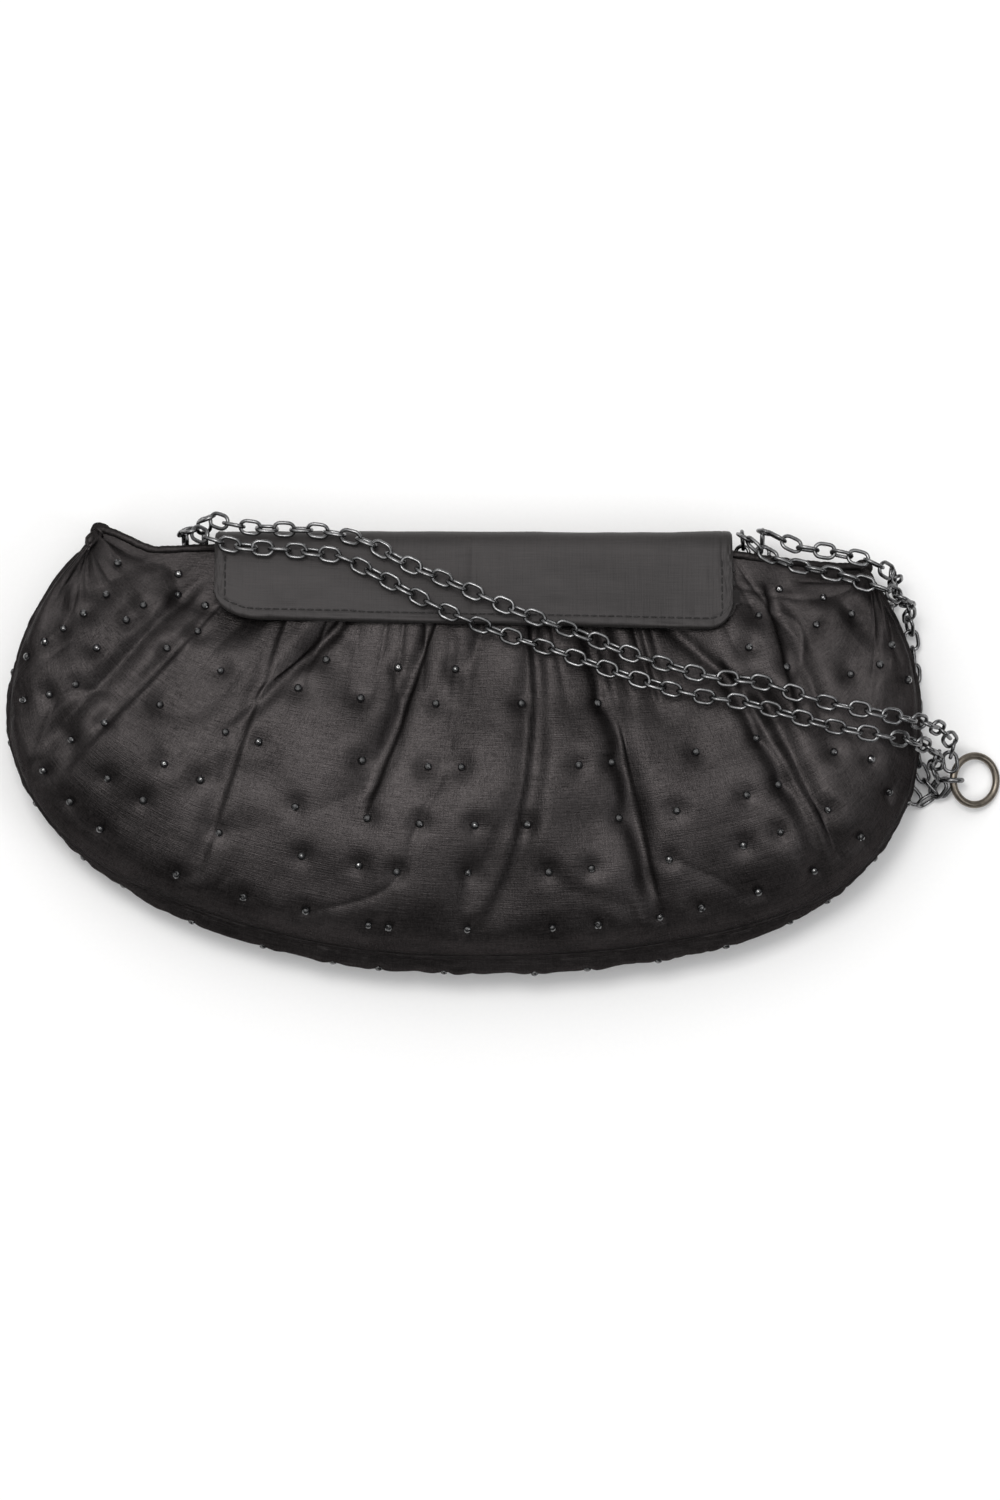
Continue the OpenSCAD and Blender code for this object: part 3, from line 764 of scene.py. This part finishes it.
def dress_node(node, name):
    """Gives a CAD node the named finish."""
    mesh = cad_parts[node].data
    mesh.materials.clear()
    mesh.materials.append(finish(name))


# ---------------------------------------------------------------- pieces

BEAD_SEATS = {}


def bead_dimples(points, seats, wide=3.6, deep=1.25):
    """Depth that the beads' threads pull in: a bell round each seat, added up."""
    total = np.zeros(points.shape[:2])
    for seat in seats:
        d2 = ((points - seat) ** 2).sum(-1)
        total += deep * np.exp(-d2 / wide ** 2) - 0.35 * np.exp(-d2 / (2.6 * wide) ** 2)
    return total


def front_detail(u, v, seed):
    """Small relief of the front: gathers near the mouth, puckers at the seam, soft creases."""
    gathers = (creases(u * 46 + 0.5 * noise(u * 8, v * 3, seed), v * 1.3, seed + 1) ** 3
               * ease(v / 0.06) * (1 - ease((v - 0.12) / 0.42)) * ease((arch(u) - 0.25) / 0.4))
    puckers = (creases(u * 74 + noise(u * 20, v * 6, seed + 7), v * 2.5, seed + 2) ** 2 - 0.3)
    puckers = puckers * ease((v - 0.84) / 0.12) * ease(arch(u) / 0.5)
    long_creases = creases(u * 17 + 1.3 * noise(u * 5, v * 4, seed + 3), v * 2.4, seed + 4) ** 5
    slack = noise(u * 13, v * 6, seed + 5)
    ripple = noise(u * 38 + v * 4, v * 13, seed + 6)
    rolls = noise(u * 27, v * 13, seed + 8)
    loose = 2.1 * slack + 0.5 * rolls - 0.5 * long_creases + 0.12 * ripple
    return (-0.8 * gathers - 0.8 * puckers * ease((1 - v) / 0.02) + tucks(u, v)
            + ease(v / 0.1) * ease((1 - v) / 0.08) * loose)


class BAG_OT_front(bpy.types.Operator):
    """Gathered, padded front: the front surface with folds, gathers, puckers and bead dimples"""

    bl_idname = "bag.front"
    bl_label = "Front"

    def execute(self, context):
        seed = context.scene.bag_sizes.seed
        u, v = parameter_grid((0.001, 0.999), (0.0, 1.0), 520, 180, 1.5)
        base = front_at(u, v, 1.0, 1.0)
        flat = base.reshape(-1, 3)
        seats = nearest(flat, island_centres("front_beads", 2.4))
        out = normals(base)
        relief = front_detail(u, v, seed) - bead_dimples(base, flat[seats])
        points = base + out * relief[..., None]
        BEAD_SEATS["front_beads"] = (points.reshape(-1, 3)[seats], out.reshape(-1, 3)[seats])
        piece = make_shell("bag_front", points, 0.7, finish("satin"))
        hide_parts("front_panel")
        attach(piece, "bag")
        return {"FINISHED"}


class BAG_OT_back(bpy.types.Operator):
    """Back: the back surface, flat where it rests, with slack creases towards its edges"""

    bl_idname = "bag.back"
    bl_label = "Back"

    def execute(self, context):
        seed = context.scene.bag_sizes.seed + 20
        u, v = parameter_grid((0.001, 0.999), (0.0, 1.0), 300, 110)
        base = back_at(u, v)
        flat = base.reshape(-1, 3)
        seats = nearest(flat, island_centres("back_beads", 2.4))
        out = -normals(base)
        free = ease((base[..., 2] - 0.6) / 2.5)
        creased = creases(u * 15 + noise(u * 5, v * 3, seed), v * 2, seed + 1) ** 4
        puckers = noise(u * 60, v * 4, seed + 2) * ease((v - 0.8) / 0.15)
        relief = -free * (0.6 * creased + 0.3 * np.abs(noise(u * 12, v * 5, seed + 3)))
        relief = relief + 0.2 * free * puckers - free * bead_dimples(base, flat[seats])
        points = base + out * relief[..., None]
        BEAD_SEATS["back_beads"] = (points.reshape(-1, 3)[seats], out.reshape(-1, 3)[seats])
        piece = make_shell("bag_back", points, 0.7, finish("satin"), flip=True)
        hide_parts("back_panel")
        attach(piece, "bag")
        return {"FINISHED"}


class BAG_OT_gusset(bpy.types.Operator):
    """Band between the two seams: a bowed strip with puckers where it is eased in"""

    bl_idname = "bag.gusset"
    bl_label = "Gusset"

    def execute(self, context):
        seed = context.scene.bag_sizes.seed + 40
        u, w = parameter_grid((0.001, 0.999), (0.0, 1.0), 520, 22)
        base = gusset_at(u, w)
        flat = base.reshape(-1, 3)
        seats = nearest(flat, island_centres("gusset_beads", 2.4))
        out = normals(base)
        relief = (0.4 * noise(u * 60, w * 1.5, seed) - 0.5 * creases(u * 90, w * 1.2, seed + 1) ** 3
                  + 0.08 * noise(u * 260, w * 4, seed + 2)) * ease(w / 0.1) * ease((1 - w) / 0.1)
        points = base + out * (relief - 0.3 - bead_dimples(base, flat[seats], 2.4, 0.6))[..., None]
        BEAD_SEATS["gusset_beads"] = (points.reshape(-1, 3)[seats], out.reshape(-1, 3)[seats])
        piece = make_shell("bag_gusset", points, 0.6, finish("satin"))
        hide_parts("gusset")
        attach(piece, "bag")
        return {"FINISHED"}


def edge_path(plan, height, start=0.0, end=1.0, count=600):
    """Path along a seam or mouth edge: its plan and its height."""
    u = np.linspace(start, end, count)
    return u, np.concatenate([plan(u), height(u)[:, None]], -1)


class BAG_OT_trims(bpy.types.Operator):
    """Corded piping in both seams and the bound edges of the mouth: puckered tubes along them"""

    bl_idname = "bag.trims"
    bl_label = "Piping and bindings"

    def execute(self, context):
        seed = context.scene.bag_sizes.seed + 60
        rows = (
            ("front_piping", seam_plan, 1, FRONT_SEAM_Z, PIPING, 0.22),
            ("back_piping", seam_plan, -1, BACK_SEAM_Z, PIPING, 0.22),
            ("front_mouth_binding", mouth_plan, 1, FRONT_MOUTH_Z, BINDING, 0.10),
            ("back_mouth_binding", mouth_plan, -1, BACK_MOUTH_Z, BINDING, 0.10),
        )
        for k, (node, plan, side, middle, radius, depth) in enumerate(rows):
            u, path = edge_path(plan, lambda a, s=side, m=middle: level(a, s, m), 0.001, 0.999)
            g = np.linspace(0, 2 * np.pi, 14, endpoint=False)
            round_it = noise(u[:, None] * 150, np.cos(g)[None] * 2 + 5, seed + k)
            twist = np.sin(u[:, None] * 900 + g[None])
            radii = radius * (1 + depth * round_it + 0.035 * twist)
            name = node.replace("mouth_binding", "mouth_edge").replace("piping", "seam_cord")
            piece = make_tube(name, path, radii, 14,
                              finish("satin_trim"))
            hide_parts(node)
            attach(piece, "bag")
        for u, name in ((0.0, "left_corner_tack"), (1.0, "right_corner_tack")):
            self.add_tack(name, np.append(outline(np.array([u]))[0], CORNER_Z), seed)
        return {"FINISHED"}

    def add_tack(self, name, corner, seed):
        """Turned-in corner where the piping and the bindings meet: an upright creased ellipsoid."""
        inward = np.append(-unit(corner[:2] - np.array([0.0, WAIST_Y])), 0.0)
        a, b = parameter_grid((0, 1), (0, 1), 15, 24)
        a, b = np.pi * a, 2 * np.pi * b[:, :-1]
        a = a[:, :-1]
        wide = 1 + 0.06 * noise(b * 2.2, a * 2, seed + 30)
        local = np.stack([np.sin(a) * np.cos(b) * 3.4 * wide, np.sin(a) * np.sin(b) * 2.7 * wide,
                          np.cos(a) * 4.4], -1)
        across = np.array([-inward[1], inward[0], 0.0])
        points = (corner + 1.2 * inward + local[..., :1] * inward + local[..., 1:2] * across
                  + local[..., 2:] * np.array([0.0, 0.0, 1.0]))
        piece = make_mesh(name, points, grid_faces(15, 24, wrap=True))
        remove_doubles(piece)
        piece.data.materials.append(finish("satin_trim"))
        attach(piece, "bag")


class BAG_OT_linings(bpy.types.Operator):
    """Linings and wadding: the front, back and band surfaces again, further in"""

    bl_idname = "bag.linings"
    bl_label = "Linings and wadding"

    def execute(self, context):
        seed = context.scene.bag_sizes.seed + 80
        rows = (
            ("front", "lining", front_at, 0.6, 1, (0.05, 0.95), (0.0, 0.96), 1.5, 10.3, 0.5),
            ("back", "lining", back_at, None, -1, (0.05, 0.95), (0.0, 0.96), 1.5, 4.4, 0.5),
            ("front", "wadding", front_at, 0.8, 1, (0.08, 0.92), (0.24, 0.94), 6.9, 6.9, 2.0),
            ("back", "wadding", back_at, None, -1, (0.08, 0.92), (0.16, 0.90), 1.3, 1.3, 2.0),
        )
        for k, (panel, name, surface, fold, side, us, vs, shallow, deep, thick) in enumerate(rows):
            node = panel + "_" + name
            u, v = parameter_grid(us, vs, 160, 60)
            base = surface(u, v) if fold is None else surface(u, v, fold)
            sinks = ease(v / 0.18) * (1 - 0.4 * ease((v - 0.84) / 0.12))
            drop = mix(shallow, deep, sinks) + 0.12 * noise(u * 30, v * 9, seed + k)
            points = base - normals(base) * (side * drop)[..., None]
            piece = make_shell(node + "_cloth", points, thick, finish(name), flip=side < 0)
            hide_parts(node)
            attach(piece, "bag")
        u, w = parameter_grid((0.14, 0.86), (0.06, 0.94), 200, 8)
        base = gusset_at(u, w)
        piece = make_shell("gusset_lining_cloth", base - normals(base) * 1.1, 0.5, finish("lining"))
        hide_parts("gusset_lining")
        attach(piece, "bag")
        return {"FINISHED"}


def edge_distance(points):
    """Distance of each grid point from the flap's two ends and its lower edge."""
    steps = np.linalg.norm(np.diff(points, axis=0), axis=-1)
    zero = np.zeros((1, points.shape[1]))
    left = np.concatenate([zero, np.cumsum(steps, axis=0)])
    right = left[-1:] - left
    down = np.linalg.norm(np.diff(points, axis=1), axis=-1)
    lower = np.cumsum(down[:, ::-1], axis=1)[:, ::-1]
    lower = np.concatenate([lower, np.zeros((points.shape[0], 1))], 1)
    return np.minimum(np.minimum(left, right), lower)


class BAG_OT_flap(bpy.types.Operator):
    """Flap: ribbed cloth over its board, rounded at the rim, with a sewn line inside the rim"""

    bl_idname = "bag.flap"
    bl_label = "Flap"
    total = 2.5
    sewn_at = 3.2
    rim = 1.3

    def execute(self, context):
        seed = context.scene.bag_sizes.seed + 100
        u, v = parameter_grid((0.0, 1.0), (0.0, 1.0), 260, 110)
        base = flap_at(u, v)
        d = edge_distance(base)
        out = normals(base)
        near = np.clip(d / self.rim, 0, 1)
        round_off = 0.5 * self.total * (1 - np.sqrt(1 - (1 - near) ** 2))
        groove = 0.16 * np.exp(-(((d - self.sewn_at) / 0.45) ** 2))
        wave = 0.30 * noise(u * 9, v * 3, seed) + 0.10 * noise(u * 40, v * 7, seed + 1)
        rim = 0.16 * noise(u * 75, v * 16, seed + 2) * np.exp(-((d / 4.5) ** 2))
        crease = self.pressed_line(base, v)
        calm = ease(d / 2.0)
        relief = 0.6 - round_off - groove + calm * wave + rim - crease * calm
        points = base + out * relief[..., None]
        thick = (self.total + 0.5) - 2 * round_off
        piece = make_shell("flap_cloth", points, np.maximum(thick, 0.25), finish("flap_cloth"))
        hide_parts("flap_satin")
        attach(piece, "flap")
        self.add_lining(seed)
        self.add_stitches(context, points, out, d)
        return {"FINISHED"}

    def pressed_line(self, base, v):
        """Depth of the crease down the flap's middle: a narrow valley that starts at the fold."""
        return 0.45 / (1 + (base[..., 0] - FLAP_X) ** 2) * ease((v - 0.3) / 0.1)

    def add_lining(self, seed):
        """Thin lining under the flap, a little inside its rim."""
        u, v = parameter_grid((0.09, 0.91), (0.02, 0.93), 160, 60)
        base = flap_at(u, v)
        drop = 2.5 + self.pressed_line(base, v) + 0.05 * noise(u * 20, v * 6, seed + 3)
        points = base - normals(base) * drop[..., None]
        piece = make_shell("flap_lining_cloth", points, 0.3, finish("lining"))
        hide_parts("flap_lining")
        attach(piece, "flap")

    def add_stitches(self, context, points, out, d):
        """Stitches on the line a set distance inside the rim: short capsules along its path."""
        pitch = context.scene.bag_sizes.stitch_pitch / MM
        cols, rows = d.shape
        picks = []
        for i in range(cols):
            inside = np.nonzero(d[i] <= self.sewn_at)[0]
            if len(inside) and inside[0] > rows * 0.45:
                picks.append((i, inside[0]))
        lower = np.array([points[i, j] + out[i, j] * 0.05 for i, j in picks])
        first, last = picks[0][0], picks[-1][0]
        rows_used = np.arange(int(rows * 0.42), min(picks[0][1], picks[-1][1]))
        left = points[first, rows_used] + out[first, rows_used] * 0.05
        right = points[last, rows_used][::-1] + out[last, rows_used][::-1] * 0.05
        line, length = route(np.concatenate([left[::6], lower[::5], right[::6]]), 0.2)
        count = int(length / pitch)
        index = np.clip(((np.arange(count) + 0.5) * pitch / 0.2).astype(int), 1, len(line) - 2)
        t, a, b = frames(line)
        thread, faces = capsule(pitch * 0.42, 0.24)
        places = np.stack([t[index], a[index], b[index], line[index]], -1)
        piece = make_copies("flap_stitches", thread, faces, places, finish("thread"))
        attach(piece, "flap")


def capsule(half, radius, rings=7, sides=6):
    """Short thread along X: round sections whose size follows half an ellipse."""
    x = np.linspace(-1, 1, rings)
    r = radius * np.sqrt(np.maximum(1 - x ** 4, 0.02))
    g = np.linspace(0, 2 * np.pi, sides, endpoint=False)
    points = np.stack([np.repeat(x * half, sides), np.outer(r, np.cos(g)).ravel(),
                       np.outer(r, np.sin(g)).ravel()], -1)
    quads = grid_faces(rings - 1, sides, wrap=True)
    s, count = np.arange(sides), len(points)
    n, last = (s + 1) % sides, (rings - 1) * sides
    start = np.stack([n, s, np.full(sides, count)], -1)
    end = np.stack([last + s, last + n, np.full(sides, count + 1)], -1)
    points = np.concatenate([points, [[-half * 1.03, 0, 0], [half * 1.03, 0, 0]]])
    return points, np.concatenate([quads[:, [0, 1, 2]], quads[:, [0, 2, 3]], start, end])


def cut_bead(sides=10):
    """Round bead about Z with flat facets and a wide table at its top."""
    profile = np.array([
        [0.30, 0.86], [0.36, 0.86], [0.80, 0.60], [1.0, 0.0], [0.82, -0.55], [0.35, -0.85]])
    g = np.linspace(0, 2 * np.pi, sides, endpoint=False)
    turn = g[None] + (np.arange(len(profile))[:, None] % 2) * np.pi / sides
    points = np.stack([profile[:, :1] * np.cos(turn), profile[:, :1] * np.sin(turn),
                       profile[:, 1:] + 0 * turn], -1).reshape(-1, 3)
    quads = grid_faces(len(profile) - 1, sides, wrap=True)
    cap = (len(profile) - 1) * sides + np.arange(sides)
    top, count = np.arange(sides), len(points)
    tail = np.stack([cap[::-1], np.roll(cap[::-1], -1), np.full(sides, count)], -1)
    table = np.stack([top, np.roll(top, -1), np.full(sides, count + 1)], -1)
    points = np.concatenate([points, [[0, 0, -0.9], [0, 0, 0.89]]])
    tris = np.concatenate([quads[:, [0, 2, 1]], quads[:, [0, 3, 2]], tail, table])
    return points, tris


class BAG_OT_beads(bpy.types.Operator):
    """Beads: small cut glass beads, each sunk a little into the cloth at its seat"""

    bl_idname = "bag.beads"
    bl_label = "Beads"

    def execute(self, context):
        radius = context.scene.bag_sizes.bead_radius / MM
        points, tris = cut_bead()
        for k, node in enumerate(("front_beads", "back_beads", "gusset_beads")):
            seats, out = BEAD_SEATS[node]
            rng = np.random.default_rng(context.scene.bag_sizes.seed + 200 + k)
            n = unit(out + rng.normal(0, 0.16, out.shape))
            a = unit(np.cross(n, rng.normal(0, 1, out.shape)))
            b = np.cross(n, a)
            size = radius * rng.uniform(0.92, 1.06, (len(n), 1, 1))
            turn = np.stack([a, b, n], -1) * size
            centre = seats + n * radius * (-0.25 if node == "gusset_beads" else 0.45)
            places = np.concatenate([turn, centre[..., None]], -1)
            piece = make_copies("cut_" + node, points, tris, places, finish("beads"), smooth=False)
            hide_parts(node)
            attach(piece, "bag")
        return {"FINISHED"}


def oval_link(pitch, width, wire, around=28, sides=8):
    """Oval link in the plane of X and Y: round wire along two straights and two half circles."""
    half_w = (width - wire) / 2
    straight = (pitch + wire - 2 * half_w) / 2
    a = np.linspace(0, 2 * np.pi, around, endpoint=False)
    push = straight * np.sign(np.cos(a)) * np.minimum(1, 4 * np.abs(np.cos(a)))
    line = np.stack([half_w * np.cos(a) + push, half_w * np.sin(a), 0 * a], -1)
    t = unit(np.roll(line, -1, 0) - np.roll(line, 1, 0))
    side = np.cross(t, (0.0, 0.0, 1.0))
    b = np.linspace(0, 2 * np.pi, sides, endpoint=False)
    points = line[:, None] + wire / 2 * (side[:, None] * np.cos(b)[None, :, None]
                                         + np.array([0, 0, 1.0]) * np.sin(b)[None, :, None])
    i, j = np.meshgrid(np.arange(around), np.arange(sides), indexing="ij")
    k, m = (i + 1) % around, (j + 1) % sides
    quads = np.stack([i * sides + j, k * sides + j, k * sides + m, i * sides + m], -1)
    return points.reshape(-1, 3), quads.reshape(-1, 4)


class BAG_OT_chain(bpy.types.Operator):
    """Chain strap: oval links along each strand's route, every other one turned a quarter"""

    bl_idname = "bag.chain"
    bl_label = "Chain strap"

    def execute(self, context):
        sizes = context.scene.bag_sizes
        pitch = sizes.link_pitch / MM
        link, quads = oval_link(pitch, sizes.link_width / MM, sizes.link_wire / MM)
        strands = (
            ("front_strand_lower", "front_chain_lower", LOWER_FRONT, -48.0, (5.0, 135.0)),
            ("front_strand_upper", "front_chain_upper", UPPER_FRONT, -48.0, (36.0, 139.0)),
            ("side_strand_lower", "side_chain_lower", LOWER_SIDE, None, None),
            ("side_strand_upper", "side_chain_upper", UPPER_SIDE, None, None),
        )
        for k, (name, node, points, cut_x, lifted) in enumerate(strands):
            first_points, last_points = RING_ENDS[name]
            path, length = route(first_points + points + last_points, 0.2)
            count = int(length / pitch)
            s = (np.arange(count) + 0.5) * length / count
            index = np.clip((s / 0.2).astype(int), 0, len(path) - 1)
            rng = np.random.default_rng(sizes.seed + 300 + k)
            roll = np.radians(90.0 * (np.arange(count) % 2) + 14 + rng.uniform(-15, 15, count))
            t, a, b = frames(path)
            t, a, b = t[index], a[index], b[index]
            side = a * np.cos(roll)[:, None] + b * np.sin(roll)[:, None]
            up = np.cross(t, side)
            places = np.concatenate([np.stack([t, side, up], -1), path[index][..., None]], -1)
            if cut_x is None:
                piece = make_copies(name, link, quads, places, finish("gunmetal"))
                self.declare(piece, node, path)
                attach(piece, "bag")
                continue
            first = path[index][:, 0] < cut_x
            start = make_copies(name + "_start", link, quads, places[first], finish("gunmetal"))
            rest = make_copies(name, link, quads, places[~first], finish("gunmetal"))
            split = int(np.argmax(path[:, 0] >= cut_x))
            self.declare(start, node, path[:split + 1])
            self.declare(rest, node, path[split:])
            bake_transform(start)
            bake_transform(rest)
        return {"FINISHED"}

    def declare(self, piece, node, path):
        """Hides the CAD node that the strand stands for."""
        thin = path[::10] if (len(path) - 1) % 10 == 0 else np.concatenate([path[::10], path[-1:]])
        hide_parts(node)
        tuple(thin[0] * MM)
        (thin * MM).tolist()


class BAG_OT_rings(bpy.types.Operator):
    """Rings: the big ring, the small ring that gathers the strands, and the two anchor rings"""

    bl_idname = "bag.rings"
    bl_label = "Rings"

    def execute(self, context):
        lean = np.radians(RING_LEAN)
        tilt = np.array([
            [np.cos(lean), 0, np.sin(lean)], [0, 1, 0], [-np.sin(lean), 0, np.cos(lean)]])
        upright = np.array([[1, 0, 0], [0, 0, -1], [0, 1, 0]], float)
        flat = np.eye(3)
        rows = (
            ("big_ring", "strap_ring", "ring", "antique", 7.5, 1.15, tilt, RING_AT, 96, 20),
            ("small_ring", "jump_ring", "bag", "gunmetal", 3.0, 0.8, upright, JUMP_AT, 48, 14),
            ("left_ring", "left_anchor_ring", "bag", "gunmetal", 4.0, 0.8, flat,
             (-82, 54.5, 19), 48, 14),
            ("right_ring", "right_anchor_ring", "bag", "gunmetal", 4.0, 0.8, flat,
             (88, 54.5, 19), 48, 14),
        )
        for name, node, body, metal, radius, wire, turn, at, around, sides in rows:
            points, quads = torus(radius, wire, around, sides)
            place = np.concatenate([turn, np.array(at, float)[:, None]], -1)
            piece = make_copies(name, points, quads, place[None], finish(metal))
            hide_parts(node)
            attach(piece, body)
        return {"FINISHED"}


class BAG_OT_fittings(bpy.types.Operator):
    """Hidden fittings: finishes for the magnets, the flap's board and the anchor tabs"""

    bl_idname = "bag.fittings"
    bl_label = "Hidden fittings"

    def execute(self, context):
        for node, name in (("front_magnet", "magnet"), ("flap_magnet", "magnet"),
                           ("flap_stiffener", "board"), ("left_anchor_tab", "satin_trim"),
                           ("right_anchor_tab", "satin_trim")):
            dress_node(node, name)
        return {"FINISHED"}


class BAG_OT_stage(bpy.types.Operator):
    """Pale floor, soft studio lights and the camera straight above the bag"""

    bl_idname = "bag.stage"
    bl_label = "Stage"
    view_height = 0.4545
    distance = 1.7
    looks_at = (0.0110, 0.0008, 0.03)
    brightest = (-0.14, 0.34, 0.930)

    def execute(self, context):
        floor = make_mesh("floor", np.array([[-4000, -4000, 0], [4000, -4000, 0], [4000, 4000, 0],
                                             [-4000, 4000, 0]], float), np.array([[0, 1, 2, 3]]))
        paper = Finish("paper", Roughness=0.9, Specular_IOR_Level=0.2)
        grain = paper.noise(paper.place("Object"), 800.0, 3.0, 0.6)
        paper.feed("Base Color", paper.colours(grain, (0.90, 0.90, 0.90), (0.93, 0.93, 0.93)))
        floor.data.materials.append(paper.material)
        camera = bpy.data.cameras.new("camera")
        camera.sensor_width = 36
        camera.lens = camera.sensor_width * self.distance / self.view_height
        camera.clip_end = 20
        holder = bpy.data.objects.new("camera", camera)
        holder.location = (*self.looks_at[:2], self.looks_at[2] + self.distance)
        context.scene.collection.objects.link(holder)
        context.scene.camera = holder
        lights = (
            ("key", (-0.18, 0.42, 1.48), 0.40, 7.0, (1.0, 0.985, 0.965)),
            ("rim", (0.80, -0.35, 0.95), 0.45, 2.0, (0.97, 0.98, 1.0)),
        )
        for name, at, size, power, colour in lights:
            light = bpy.data.lights.new(name, "AREA")
            light.shape = "SQUARE"
            light.size = size
            light.energy = power
            light.color = colour
            lamp = bpy.data.objects.new(name, light)
            lamp.location = at
            aim = np.array(at)
            lamp.rotation_euler = (
                np.arccos(aim[2] / np.linalg.norm(aim)), 0, np.arctan2(aim[1], aim[0]) + np.pi / 2)
            context.scene.collection.objects.link(lamp)
        context.scene.world = self.dome()
        context.scene.view_settings.view_transform = "Standard"
        return {"FINISHED"}

    def dome(self):
        """Soft light from all round: brightest overhead, fading as the cube towards the floor."""
        world = bpy.data.worlds.new("studio")
        sky = Board(world)
        coords = sky.node("ShaderNodeTexCoord", out="Generated")
        facing = sky.node("ShaderNodeVectorMath", {"operation": "DOT_PRODUCT"},
                          {0: coords, 1: self.brightest}, out="Value")
        facing = facing.maths("MAXIMUM", facing, 0.0)
        strength = 0.10 + 2.0 * facing ** 3.2
        background = sky.tree.nodes["Background"]
        background.inputs["Color"].default_value = (1, 1, 1, 1)
        sky.tree.links.new(strength.socket, background.inputs["Strength"])
        return world


class BAG_PT_panel(bpy.types.Panel):
    """Lists the bag's pieces, sizes and colours"""

    bl_label = "Evening bag"
    bl_idname = "BAG_PT_panel"
    bl_space_type = "VIEW_3D"
    bl_region_type = "UI"
    bl_category = "Bag"

    def draw(self, context):
        for operator in OPERATORS:
            self.layout.operator(operator.bl_idname)
        for group in (context.scene.bag_sizes, context.scene.bag_colours):
            for name in group.__annotations__:
                self.layout.prop(group, name)


OPERATORS = (
    BAG_OT_stage, BAG_OT_chain, BAG_OT_front, BAG_OT_back, BAG_OT_gusset, BAG_OT_trims,
    BAG_OT_linings, BAG_OT_flap, BAG_OT_beads, BAG_OT_rings, BAG_OT_fittings,
)
CLASSES = (BagSizes, BagColours, *OPERATORS, BAG_PT_panel)


def register():
    for cls in CLASSES:
        bpy.utils.register_class(cls)
    bpy.types.Scene.bag_sizes = PointerProperty(type=BagSizes)
    bpy.types.Scene.bag_colours = PointerProperty(type=BagColours)


def unregister():
    del bpy.types.Scene.bag_colours
    del bpy.types.Scene.bag_sizes
    for cls in reversed(CLASSES):
        bpy.utils.unregister_class(cls)


def main():
    register()
    for operator in OPERATORS:
        group, name = operator.bl_idname.split(".")
        getattr(getattr(bpy.ops, group), name)()


if __name__ == "__main__":
    main()
